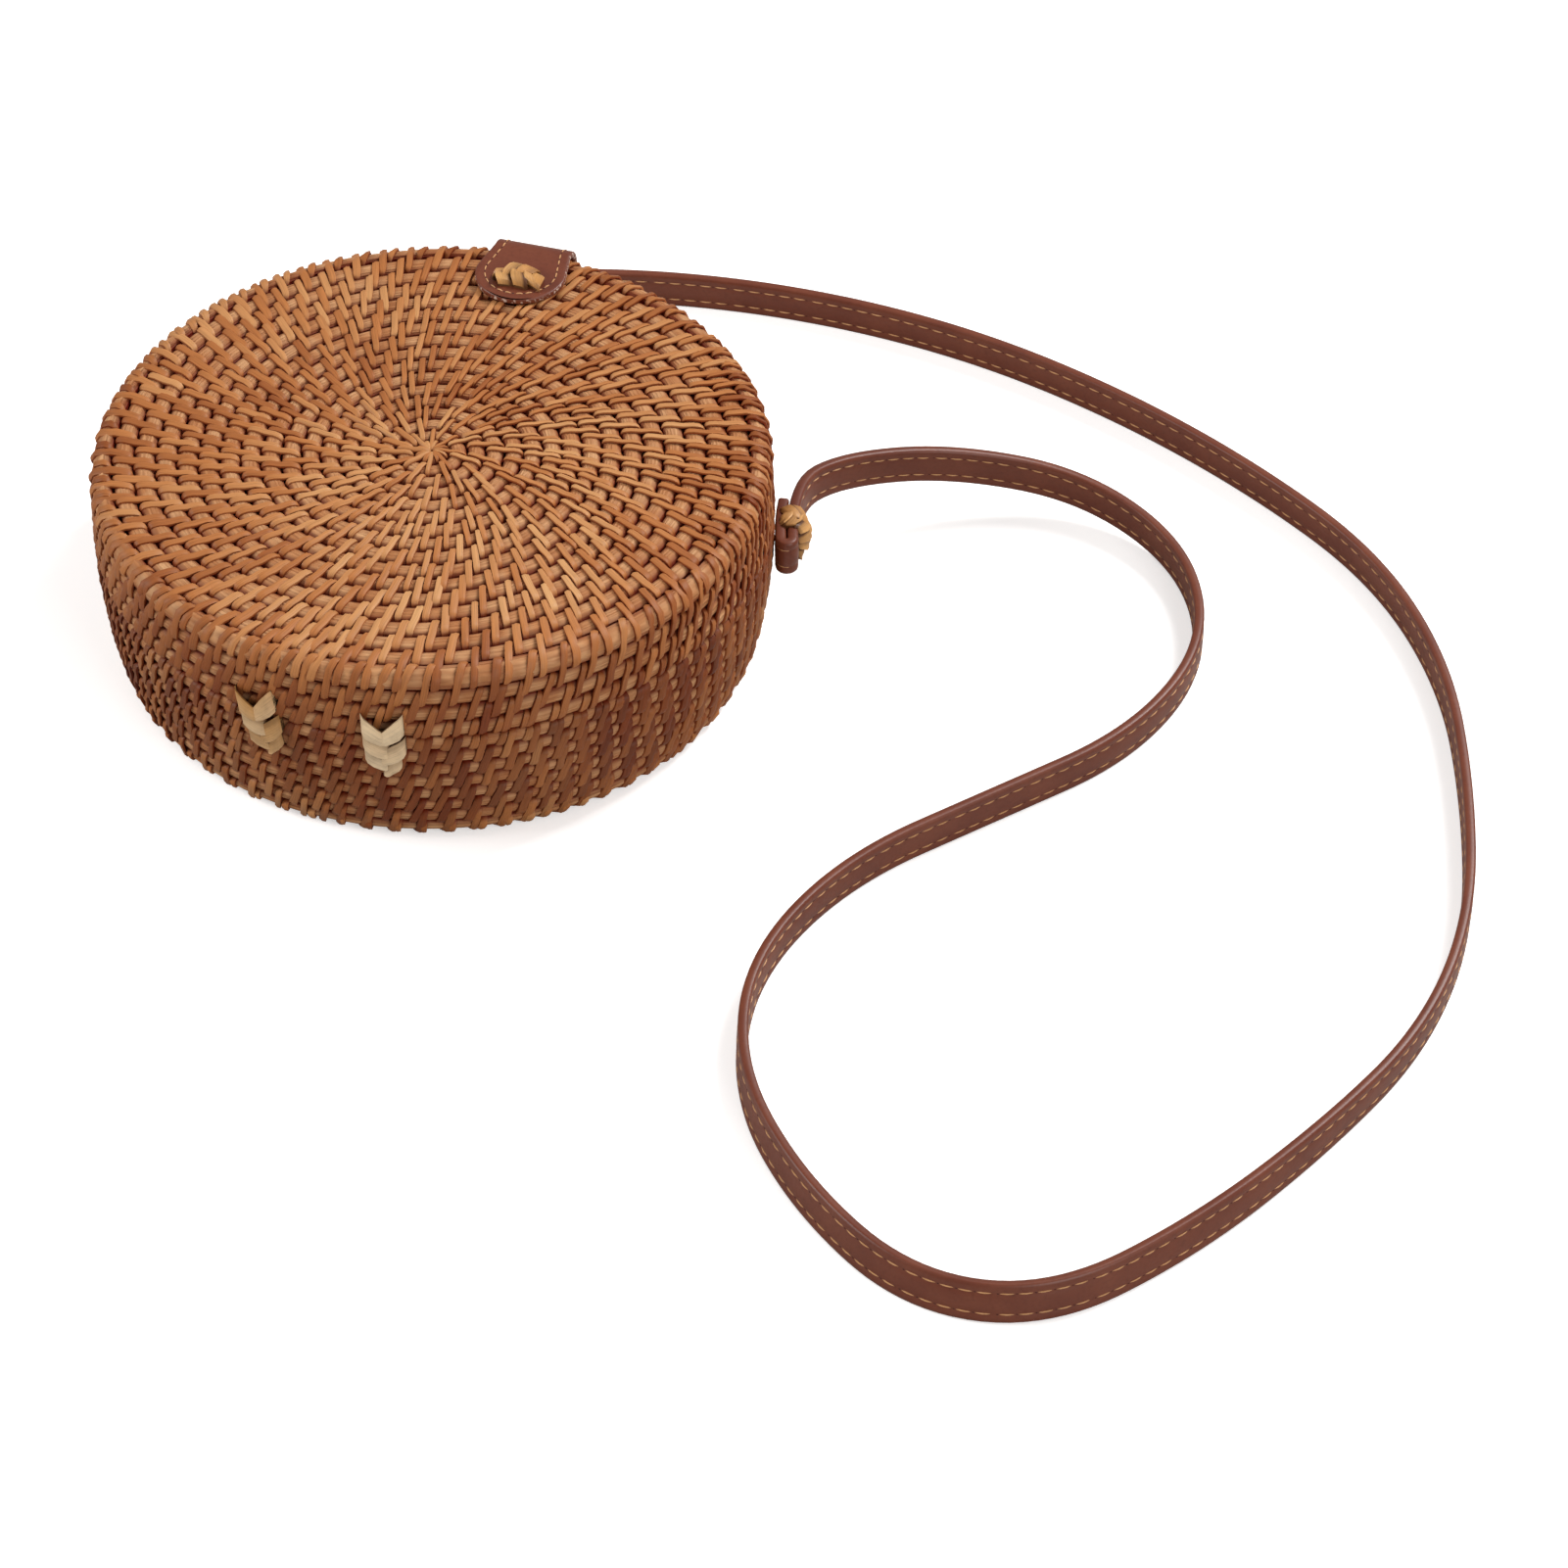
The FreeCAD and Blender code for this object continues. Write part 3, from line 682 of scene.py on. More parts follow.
# Hinge ties: two flat plaits of straw-coloured peel across the seam. The lower end tapers into the back
# shell, and two folded ears go through the lid's wall. They bend at the seam as the lid opens.
tie_length = 0.0226
tie_half_width = 0.0060
Strip = namedtuple("Strip", "pitch slant extent tilt thickness")
tie_strip = Strip(pitch=0.0027, slant=0.0044, extent=0.0066, tilt=0.0007, thickness=0.0007)
tie_body_start = 0.0074
tie_body_length = 0.0112
tie_crown = 0.0026
tie_stand = 0.0002
tie_taper = 0.82
tie_taper_from = 0.45
tie_thinning = 0.45
tie_bend_half = 0.0022
strip_section = ((-0.5, -0.5), (-0.5, 0.4), (-0.30, 0.5), (-0.10, 0.5), (0.43, 0.5), (0.5, 0.1), (0.5, -0.5))
strip_run = (
    (1.00, 0.00, -0.30, 0.80),
    (1.00, 0.02, 0.30, 0.88),
    (0.90, 0.10, 0.74, 0.96),
    (0.64, 0.34, 0.95, 1.00),
    (0.30, 0.60, 1.00, 0.96),
    (0.00, 0.82, 0.96, 0.84),
    (-0.24, 0.98, 0.74, 0.66),
    (-0.42, 1.08, 0.40, 0.50),
)
cap_run = (
    (-1.00, -0.30, 0.60),
    (-0.96, 0.35, 0.74),
    (-0.66, 0.85, 0.94),
    (0.00, 1.00, 1.00),
    (0.66, 0.85, 0.94),
    (0.96, 0.35, 0.74),
    (1.00, -0.30, 0.60),
)
tie_ear = (
    (1.00, 0.0036, -0.60, 0.0066),
    (1.00, 0.0038, 0.30, 0.0070),
    (0.84, 0.0043, 0.86, 0.0072),
    (0.50, 0.0056, 1.06, 0.0064),
    (0.12, 0.0072, 1.10, 0.0050),
    (-0.16, 0.0083, 0.90, 0.0038),
    (-0.40, 0.0092, 0.45, 0.0026),
)
strip_shift = 0.14
strip_tilts = (0.7, 1.35)
strip_tone_spread = 0.18
# Painted light and shade: strip_front_light lightens each strip's front edge; tuck_shade and the overlap
# shade darken what lies under other strips.
strip_front_light = 0.25
strip_side_shade = 0.12
tuck_shade = 0.9
overlap_shade_gain = 3.4
overlap_shade_most = 0.95
first_overlap_shade = 0.4
plait_crease = 50.0
blotch_size = 0.004
straw_deep = "#cf9856"
straw_pale = "#f3d8b0"
straw_shade = "#4a2810"
plait_reach = 0.0014


def plaited_bmesh():
    bm = bmesh.new()
    bm.loops.layers.uv.new("fibre")
    bm.verts.layers.float.new("tone")
    bm.verts.layers.float.new("crease")
    return bm


def laid_strip(bm, place, stations, tilt, thickness, tone, shading, dice):
    """A flat strip through (along, across, height, extent) stations; its front edge stands up by the tilt.

    shading is how dark its painted shade is on the back edge, where the strip before lies over it.
    """
    fibre = bm.loops.layers.uv["fibre"]
    tone_layer = bm.verts.layers.float["tone"]
    overlap_shade_layer = bm.verts.layers.float["crease"]
    rings = []
    for along, across, height, extent in stations:
        ring = []
        for x, y in strip_section:
            ring.append(place(along + x * extent, across, height + x * tilt + y * thickness))
        rings.append(ring)
    widest = max(station[3] for station in stations)
    marks = [widest * x for x, y in strip_section] + [widest]
    loops = skin(bm, rings, dice.random(), fibre, marks)
    shade = tone + dice.uniform(-strip_tone_spread, strip_tone_spread)
    for i, loop in enumerate(loops):
        tucked = i == len(loops) - 1
        for vert, (x, y) in zip(loop, strip_section):
            # Painted light on the front edge; painted shade on the underside, the tucked end and the back
            # edge under the strip before.
            vert[tone_layer] = shade + strip_front_light * x
            crease = shading * min(overlap_shade_most, max(0.0, -x) * overlap_shade_gain)
            vert[overlap_shade_layer] = tuck_shade if y < 0 or tucked else crease


def plait(bm, place, length, half_width, crown, strip, tone, dice):
    """A flat plait: its strips come over either edge in turn, slant to the middle and tuck in.

    place turns (along, across, height) into a point, and half_width and crown are functions of the share
    of the length.
    """
    pitch, slant, extent, tilt, thickness = strip
    count = round(length / pitch)
    for i in range(count):
        side = 1 if i % 2 else -1
        shift = dice.uniform(-strip_shift, strip_shift) * pitch
        stations = []
        for across_share, along_share, height_share, extent_share in strip_run:
            along = length * (i + 0.5) / count + along_share * slant + shift
            share = min(1.0, max(0.0, along / length))
            across = side * across_share * half_width(share)
            stations.append((along, across, height_share * crown(share), extent_share * extent))
        lean = tilt * dice.uniform(*strip_tilts)
        shading = first_overlap_shade if i < 2 else 1.0
        laid_strip(bm, place, stations, lean, thickness, tone - strip_side_shade * side, shading, dice)


def cap_strip(bm, place, along, half_width, crown, extent, strip, tone, dice):
    """A strip laid straight across the end of a plait."""
    stations = []
    for across_share, height_share, extent_share in cap_run:
        stations.append((along, across_share * half_width, height_share * crown, extent_share * extent))
    laid_strip(bm, place, stations, 0.0, strip.thickness, tone, 0.0, dice)


def plaited_peel(name, deep, pale, shade):
    """Dried peel, plaited while wet: smooth and pale, with faint fibres and painted shade in the creases and
    gaps.
    """
    material, tree = new_material(name)
    tone = node(tree, "Attribute", out="Fac", attribute_name="tone")
    crease = node(tree, "Attribute", out="Fac", attribute_name="crease")
    fibre_map = node(tree, "UVMap", uv_map="fibre")
    fibre_scale = node(tree, "VectorMath", {0: fibre_map, 1: fibre_grain}, operation="MULTIPLY")
    fibres = node(tree, "TexNoise", {"Vector": fibre_scale, "Scale": 1.0, "Detail": 3.0})
    place = node(tree, "TexCoord", out="Object")
    blotch = node(tree, "TexNoise", {"Vector": place, "Scale": 1 / blotch_size, "Detail": 2.0})
    # Painted shade: the crease attribute darkens where strips lie under others, and the ambient occlusion
    # darkens the gaps.
    open_air = node(tree, "AmbientOcclusion", {"Distance": plait_reach}, "AO", samples=gap_samples)
    shares = [
        node(tree, "MapRange", {"Value": fibres, "From Min": 0.55, "From Max": 0.25, "To Max": 0.35}),
        node(tree, "MapRange", {"Value": blotch, "From Min": 0.6, "From Max": 0.35, "To Max": 0.18}),
        crease,
        node(tree, "MapRange", {"Value": open_air, "From Min": 0.80, "From Max": 0.25, "To Max": 0.8}),
    ]
    mixed = node(tree, "Mix", {0: tone, 6: deep, 7: pale}, **in_colour)
    for share in shares:
        mixed = node(tree, "Mix", {0: share, 6: mixed, 7: shade}, **in_colour)
    bump = node(tree, "Bump", {"Height": fibres, "Strength": 0.25, "Distance": 0.00012})
    finish = {"Base Color": mixed, "Roughness": 0.46, "Specular IOR Level": 0.4, "Normal": bump}
    node(tree, "OutputMaterial", {"Surface": node(tree, "BsdfPrincipled", finish)})
    return material


straw_peel = plaited_peel("straw_peel", straw_deep, straw_pale, straw_shade)


def hinge_tie(side, slope, tone, dice):
    """One tie: a tapering plait under two ears, on the wall at its CAD place and a little askew."""
    low_corner, low_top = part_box("hinge_tie_" + side + "_lower")
    middle = (low_corner + low_top) / 2
    outward = Vector((middle.x, middle.y, 0)).normalized()
    sideways = Vector((-outward.y, outward.x, 0))
    top = low_corner.z + tie_length
    lean = math.radians(slope)

    def place(along, across, height):
        drop = min(along, tie_length) - tie_length / 2
        aside = across * math.cos(lean) + drop * math.sin(lean)
        down = tie_length / 2 + drop * math.cos(lean) - across * math.sin(lean)
        bow = aside ** 2 / (2 * bag_radius)
        off_axis = outward * (bag_radius + tie_stand - bow + height)
        return off_axis + sideways * aside + Vector((0, 0, top - down))

    def body_place(along, across, height):
        return place(tie_body_start + along, across, height)

    def half_width(share):
        taper = max(0.0, (share - tie_taper_from) / (1 - tie_taper_from))
        return tie_half_width * math.sqrt(1 - tie_taper * taper ** 2)

    def crown(share):
        return tie_crown * (1 - tie_thinning * share ** 2)

    bm = plaited_bmesh()
    plait(bm, body_place, tie_body_length, half_width, crown, tie_strip, tone, dice)
    for way in (-1, 1):
        stations = []
        for across_share, along, height_share, extent in tie_ear:
            stations.append((along, way * across_share * tie_half_width, height_share * tie_crown, extent))
        laid_strip(bm, place, stations, tie_strip.tilt, tie_strip.thickness, tone, 0.0, dice)
    piece = finished("hinge_tie_" + side, bm, [straw_peel], plait_crease)
    seam = outward * bag_radius + Vector((0, 0, seam_height))
    bend_half = Vector((0, 0, tie_bend_half))
    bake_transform(piece, "back_shell", "front_shell", start=seam - bend_half, end=seam + bend_half)
    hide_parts("hinge_tie_" + side + "_lower", "hinge_tie_" + side + "_upper")


tie_dice = random.Random(5)
for side, slope, tone in (("left", 13.0, 0.25), ("right", 2.0, 0.80)):
    hinge_tie(side, slope, tone, tie_dice)

# Closure: one piece of red-brown leather, cut with two round ends, laid on the lid, bent over the rim and
# hung down the wall. Its cut edge is left raw, and a row of tan thread runs round it.
tab_low, tab_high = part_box("closure_tab")
flap_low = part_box("closure_flap")[0]
bend_low, bend_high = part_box("closure_bend")
leather_thickness = tab_high.z - tab_low.z
end_half_width = tab_high.x
bend_half_width = bend_high.x
bend_middle_radius = bend_high.y - bend_low.y - leather_thickness / 2
tab_run = bend_low.y - tab_low.y
bend_run = bend_middle_radius * math.pi / 2
flap_run = bend_low.z - flap_low.z
leather_length = tab_run + bend_run + flap_run
leather_rows = 84
leather_columns = 18
end_rows = 16
leather_edge_round = 0.00055
least_along = 0.00001
least_half_width = 0.0004
rim_angle = 60.0
leather_crease = 50.0
stitch_inset = 0.0030
stitch_pitch = 0.0031
stitch_length = 0.0023
thread_radius = 0.00022
thread_sides = 6
thread_twist = 0.0007
stitch_swell = (0.35, 0.9, 1.0, 0.9, 0.35)
stitch_sink = (-0.55, 0.25, 0.55, 0.25, -0.55)
stitch_points = len(stitch_swell)
side_steps = 40
slit_half_length = 0.00042
slit_half_width = 0.00030
slit_slant = 0.5
slit_rise = 0.5
slit_sink = 2
slit_grain_size = 0.0006
leather_base = "#6b3422"
leather_deep = "#512112"
leather_pale = "#763d28"
leather_raw = "#ccb5a5"
thread_tan = "#e6b27e"
thread_shade = "#b98250"
slit_shade_brown = "#2c130d"
grain_size = 0.0009
cloud_size = 0.014
fray_size = 0.0012
fray_depth = 0.0024


def leather(name, raw_edge):
    """Smooth finished leather: red brown, finely pebbled, softly shiny and, where cut, pale and frayed."""
    material, tree = new_material(name)
    place = node(tree, "TexCoord", out="Object")
    cells = node(tree, "TexVoronoi", {"Vector": place, "Scale": 1 / grain_size}, feature="SMOOTH_F1")
    pit_share = node(tree, "MapRange", {"Value": cells, "From Min": 0.45, "From Max": 0.85, "To Max": 0.3})
    clouds = node(tree, "TexNoise", {"Vector": place, "Scale": 1 / cloud_size, "Detail": 3.0})
    cloud_share = node(tree, "MapRange", {"Value": clouds, "From Min": 0.35, "From Max": 0.68})
    mixed = node(tree, "Mix", {0: cloud_share, 6: leather_base, 7: leather_pale}, **in_colour)
    mixed = node(tree, "Mix", {0: pit_share, 6: mixed, 7: leather_deep}, **in_colour)
    if raw_edge:
        edge = node(tree, "Attribute", out="Fac", attribute_name="edge")
        fray = node(tree, "TexNoise", {"Vector": place, "Scale": 1 / fray_size, "Detail": 3.0})
        ragged = node(tree, "Math", {0: fray, 1: -fray_depth, 2: edge}, operation="MULTIPLY_ADD")
        worn = node(tree, "MapRange", {"Value": ragged, "From Min": -0.00125, "From Max": -0.0015})
        mixed = node(tree, "Mix", {0: worn, 6: mixed, 7: leather_raw}, **in_colour)
    bump = node(tree, "Bump", {"Height": cells, "Strength": 0.2, "Distance": 0.0001})
    finish = {"Base Color": mixed, "Roughness": 0.40, "Specular IOR Level": 0.42, "Normal": bump}
    node(tree, "OutputMaterial", {"Surface": node(tree, "BsdfPrincipled", finish)})
    return material


cut_leather = leather("cut_leather", True)

# Waxed polyester thread: tan, twisted, with a slight sheen. At the end of each stitch a small dark slit is
# painted shade, where the thread goes down into the needle's hole.
waxed_thread, tree = new_material("waxed_thread")
place = node(tree, "TexCoord", out="Object")
twist = node(tree, "TexNoise", {"Vector": place, "Scale": 1 / thread_twist, "Detail": 2.0})
thread_colour = node(tree, "Mix", {0: twist, 6: thread_shade, 7: thread_tan}, **in_colour)
thread_bump = node(tree, "Bump", {"Height": twist, "Strength": 0.3, "Distance": 0.0001})
thread_finish = {"Base Color": thread_colour, "Roughness": 0.55, "Normal": thread_bump}
node(tree, "OutputMaterial", {"Surface": node(tree, "BsdfPrincipled", thread_finish)})
needle_slit, tree = new_material("needle_slit")
place = node(tree, "TexCoord", out="Object")
slit_grain = node(tree, "TexNoise", {"Vector": place, "Scale": 1 / slit_grain_size, "Detail": 2.0})
slit_colour = node(tree, "Mix", {0: slit_grain, 6: slit_shade_brown, 7: leather_deep}, **in_colour)
slit_finish = {"Base Color": slit_colour, "Roughness": 0.85}
node(tree, "OutputMaterial", {"Surface": node(tree, "BsdfPrincipled", slit_finish)})


def half_cut(along):
    """Half the leather's width at a distance from its tab end: it narrows from its round ends to the bend."""
    run, from_end = tab_run, along
    if along > tab_run + bend_run / 2:
        run, from_end = flap_run, leather_length - along
    if from_end < end_half_width:
        return math.sqrt(max(0.0, end_half_width ** 2 - (end_half_width - from_end) ** 2))
    share = min(1.0, (from_end - end_half_width) / (run - end_half_width))
    return end_half_width + (bend_half_width - end_half_width) * share


def bent(across, along, height):
    """Where a point of the flat leather lies once it is bent over the rim; height is off its middle layer."""
    if along < tab_run:
        return Vector((across, tab_low.y + along, tab_low.z + leather_thickness / 2 + height))
    if along < tab_run + bend_run:
        turn = (along - tab_run) / bend_middle_radius
        reach = bend_middle_radius + height
        return Vector((across, bend_low.y + reach * math.sin(turn), bend_low.z + reach * math.cos(turn)))
    drop = along - tab_run - bend_run
    return Vector((across, bend_low.y + bend_middle_radius + height, bend_low.z - drop))


bm = bmesh.new()
bmesh.ops.create_grid(bm, x_segments=leather_columns, y_segments=leather_rows, size=1.0)
end_share = end_rows / leather_rows
for vert in bm.verts:
    share = (vert.co.y + 1) / 2
    from_end = min(share, 1 - share)
    if from_end < end_share:
        along = end_half_width * (1 - math.cos(math.pi / 2 * from_end / end_share)) + least_along
    else:
        spread = (from_end - end_share) / (0.5 - end_share)
        along = end_half_width + (leather_length / 2 - end_half_width) * spread
    along = along if share <= 0.5 else leather_length - along
    vert.co = (vert.co.x * max(half_cut(along), least_half_width), along, -leather_thickness / 2)
flat_faces = list(bm.faces)
raised = bmesh.ops.extrude_face_region(bm, geom=flat_faces)["geom"]
raised_verts = [item for item in raised if isinstance(item, bmesh.types.BMVert)]
bmesh.ops.translate(bm, verts=raised_verts, vec=(0, 0, leather_thickness))
bmesh.ops.recalc_face_normals(bm, faces=bm.faces)
sharp = math.radians(rim_angle)
rim = [edge for edge in bm.edges if len(edge.link_faces) == 2 and edge.calc_face_angle() > sharp]
rim = [edge for edge in rim if abs(edge.verts[0].co.z - edge.verts[1].co.z) < leather_thickness / 2]
bmesh.ops.bevel(
    bm, geom=rim, offset=leather_edge_round, segments=2, profile=0.5, affect="EDGES", material=-1
)
edge_layer = bm.verts.layers.float.new("edge")
for vert in bm.verts:
    across, along, height = vert.co
    vert[edge_layer] = min(half_cut(along) - abs(across), along, leather_length - along)
    vert.co = bent(across, along, height)
closure_leather = finished("closure_leather", bm, [cut_leather], leather_crease)
bend_start = (0, bend_low.y, tab_low.z + leather_thickness / 2)
bend_end = (0, bend_low.y + bend_middle_radius, bend_low.z)
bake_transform(closure_leather, "front_shell", "closure_flap", start=bend_start, end=bend_end)
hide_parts("closure_tab", "closure_bend", "closure_flap")


def evenly(points, step):
    """The same line with points at even steps."""
    lengths = [0.0]
    for a, b in zip(points, points[1:]):
        lengths.append(lengths[-1] + (b - a).length)
    count = max(1, round(lengths[-1] / step))
    result = []
    i = 0
    for k in range(count + 1):
        want = lengths[-1] * k / count
        while i < len(points) - 2 and lengths[i + 1] < want:
            i += 1
        share = (want - lengths[i]) / max(lengths[i + 1] - lengths[i], 1e-9)
        result.append(points[i].lerp(points[i + 1], share))
    return result


def needle_mark(bm, point, along, outward):
    """A small dark slit where the thread goes down: painted shade of the needle's hole."""
    sideways = along.cross(outward).normalized()
    slant = (along + sideways * slit_slant).normalized()
    flank = slant.cross(outward)
    tips = [point + slant * slit_half_length, point + flank * slit_half_width]
    tips += [point - slant * slit_half_length, point - flank * slit_half_width]
    ring = [bm.verts.new(tip) for tip in tips]
    high = bm.verts.new(point + outward * thread_radius * slit_rise)
    low = bm.verts.new(point - outward * thread_radius * slit_sink)
    for a, b in zip(ring, ring[1:] + ring[:1]):
        bm.faces.new((a, b, high)).material_index = 1
        bm.faces.new((b, a, low)).material_index = 1


def thread_stitch(bm, path, outward_of):
    """One stitch: a short thread that rises out of one needle slit and goes down the next."""
    rings = []
    for i, point in enumerate(path):
        along = (path[min(i + 1, len(path) - 1)] - path[max(i - 1, 0)]).normalized()
        outward = outward_of[i]
        sideways = along.cross(outward).normalized()
        centre = point + outward * stitch_sink[i] * thread_radius
        ring = []
        for side in range(thread_sides):
            turn = 2 * math.pi * side / thread_sides
            spoke = sideways * math.cos(turn) + outward * math.sin(turn)
            ring.append(centre + spoke * thread_radius * stitch_swell[i])
        rings.append(ring)
    skin(bm, rings)
    run_on = (path[-1] - path[-2]).normalized()
    needle_mark(bm, path[-1] + run_on * slit_half_length, run_on, outward_of[-1])


side_seam = []
for step in range(side_steps + 1):
    along = end_half_width + (leather_length - 2 * end_half_width) * step / side_steps
    side_seam.append(Vector((half_cut(along) - stitch_inset, along, 0)))
reach = end_half_width - stitch_inset
flap_end = []
tab_end = []
for step in range(1, side_steps):
    turn = math.pi * step / side_steps
    across, rise = reach * math.cos(turn), reach * math.sin(turn)
    flap_end.append(Vector((across, leather_length - end_half_width + rise, 0)))
    tab_end.append(Vector((-across, end_half_width - rise, 0)))
other_side = [Vector((-point.x, point.y, 0)) for point in reversed(side_seam)]
closure_seam = side_seam + flap_end + other_side + tab_end + side_seam[:1]
seam_points = evenly(closure_seam, stitch_length / (stitch_points - 1))
seam_step = (seam_points[1] - seam_points[0]).length
bm = bmesh.new()
stitches = round((len(seam_points) - 1) * seam_step / stitch_pitch)
stride = (len(seam_points) - 1) / stitches
for stitch in range(stitches):
    first = round(stitch * stride)
    path = []
    outwards = []
    for across, along, height in seam_points[first:first + stitch_points]:
        point = bent(across, along, leather_thickness / 2)
        path.append(point)
        outwards.append((bent(across, along, leather_thickness) - point).normalized())
    thread_stitch(bm, path, outwards)
closure_stitching = finished("closure_stitching", bm, [waxed_thread, needle_slit])
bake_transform(closure_stitching, "front_shell", "closure_flap", start=bend_start, end=bend_end)

# Rosettes: short honey-coloured plaits, drawn up into a knob. One holds the leather to the lid, and one
# holds each end of the strap to the back shell. Their ends go down through the leather.
honey_deep = "#bd7c3a"
honey_pale = "#e3ad6c"
honey_shade = "#4c260c"
honey_peel = plaited_peel("honey_peel", honey_deep, honey_pale, honey_shade)
rosette_dice = random.Random(17)
tab_strip = Strip(pitch=0.0023, slant=0.0026, extent=0.0052, tilt=0.0009, thickness=0.0009)
tab_plait_overhang = 0.0008
tab_plait_crown = 0.0027
tab_cap_extent = 0.0042
tab_plait_bow = 0.0014
tab_plait_half = 0.0047
tab_plait_shift = 0.0008
tab_slants_over = 1.1
tab_bow_limit = 1.4
tab_width_least = 0.15
tab_width_span = 1.70
tab_width_start = 0.92
tab_height_least = 0.5
tab_height_fall = 0.6
tab_height_power = 2.5
tab_cap_place = 0.0008
tab_cap_width = 0.62
tab_cap_height = 0.8
tab_tone = 0.6
dome_low, dome_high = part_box("closure_rosette")
dome_middle = (dome_low + dome_high) / 2
tab_plait_length = dome_high.x - dome_low.x - tab_plait_overhang - tab_slants_over * tab_strip.slant


def tab_plait_place(along, across, height):
    along = min(along, tab_plait_length + 2 * tab_plait_overhang)
    share = 2 * along / tab_plait_length - 1
    bow = tab_plait_bow * (1 - min(tab_bow_limit, abs(share)) ** 2)
    x = dome_high.x - tab_plait_overhang - along
    return Vector((x, dome_middle.y + across + bow - tab_plait_shift, tab_high.z + height))


def tab_plait_width(share):
    fullness = 1 - abs(tab_width_span * share - tab_width_start) ** 2
    return tab_plait_half * math.sqrt(max(tab_width_least, fullness))


def tab_plait_height(share):
    fullness = 1 - tab_height_fall * abs(2 * share - 1) ** tab_height_power
    return tab_plait_crown * max(tab_height_least, fullness)


bm = plaited_bmesh()
tab_form = (tab_plait_length, tab_plait_width, tab_plait_height, tab_strip)
plait(bm, tab_plait_place, *tab_form, tab_tone, rosette_dice)
cap_half = tab_cap_width * tab_plait_half
cap_crown = tab_cap_height * tab_plait_crown
cap_strip(
    bm, tab_plait_place, tab_cap_place, cap_half, cap_crown, tab_cap_extent, tab_strip, tab_tone, rosette_dice
)
tab_rosette = finished("closure_rosette_plait", bm, [honey_peel], plait_crease)
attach(tab_rosette, "front_shell")
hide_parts("closure_rosette")

# Knots: where the lacing of the ties and rosettes comes through the lining it is tied off flat, with one
# turn of peel over another.
knot_strip_width = 0.0024
knot_strip_thickness = 0.0008
knot_run = (
    (-1.0, -0.0012),
    (-0.85, -0.0003),
    (-0.45, 0.0),
    (0.0, 0.0002),
    (0.45, 0.0),
    (0.85, -0.0003),
    (1.0, -0.0012),
)
knot_turns = ((0.35, 0.0), (-0.40, 0.0007), (1.57, 0.0013))
knot_flat_depth = 0.0025
knot_fill = 0.92
knot_sink = 0.0004
knot_tone = 0.6


def knot(name, node_name, body, material, dice):
    """A flat knot in the box of its CAD node: turns of peel crossed over each other."""
    low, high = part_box(node_name)
    centre = (low + high) / 2
    if abs(centre.z - high.z) * 2 < knot_flat_depth:
        outward = Vector((0, 0, -1))
        along = Vector((1, 0, 0))
    else:
        outward = Vector((-centre.x, -centre.y, 0)).normalized()
        along = Vector((-outward.y, outward.x, 0))
    upward = outward.cross(along)
    size = high - low
    reach = 0.5 * max(abs(along.x) * size.x, abs(along.y) * size.y)
    climb = min(reach, 0.5 * (size.z if outward.z == 0 else size.y))
    bm = plaited_bmesh()
    for turn, lift in knot_turns:
        line = (along * math.cos(turn) * reach + upward * math.sin(turn) * climb) * knot_fill
        flank = (upward * math.cos(turn) - along * math.sin(turn)).normalized()

        def place(across, share, height):
            return centre + line * share + flank * across + outward * (height + lift - knot_sink)

        stations = [(0.0, share, height, knot_strip_width) for share, height in knot_run]
        laid_strip(bm, place, stations, 0.0, knot_strip_thickness, knot_tone, 0.0, dice)
    piece = finished(name, bm, [material], plait_crease)
    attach(piece, body)
    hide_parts(node_name)


knot_dice = random.Random(29)
for side in ("left", "right"):
    for level, body in (("_lower", "back_shell"), ("_upper", "front_shell")):
        name = side + level
        knot("hinge_knot_tied_" + name, "hinge_knot_" + name, body, straw_peel, knot_dice)
    knot("strap_knot_tied_" + side, "strap_knot_" + side, "back_shell", honey_peel, knot_dice)
knot("closure_knot_tied", "closure_rosette_knot", "front_shell", honey_peel, knot_dice)

# Press stud: brass cap and socket riveted to the flap, stud and washer riveted to the back shell. The solids
# have the real shape, so they stay and get their metal.
brass_bright = "#b98f4e"
brass_worn = "#7d5c2e"
tarnish_size = 0.002

# Old brass, pressed and handled: dull gold and half shiny, with darker tarnish in patches.
old_brass, tree = new_material("old_brass")
place = node(tree, "TexCoord", out="Object")
tarnish = node(tree, "TexNoise", {"Vector": place, "Scale": 1 / tarnish_size, "Detail": 4.0})
tarnish_share = node(tree, "MapRange", {"Value": tarnish, "From Min": 0.4, "From Max": 0.7})
brass_colour = node(tree, "Mix", {0: tarnish_share, 6: brass_bright, 7: brass_worn}, **in_colour)
brass_rough = node(tree, "MapRange", {"Value": tarnish, "To Min": 0.22, "To Max": 0.45})
brass_finish = {"Base Color": brass_colour, "Metallic": 1.0, "Roughness": brass_rough}
node(tree, "OutputMaterial", {"Surface": node(tree, "BsdfPrincipled", brass_finish)})
for name in ("snap_cap", "snap_socket", "snap_stud", "snap_washer"):
    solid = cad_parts[name]
    solid.data.materials.clear()
    solid.data.materials.append(old_brass)

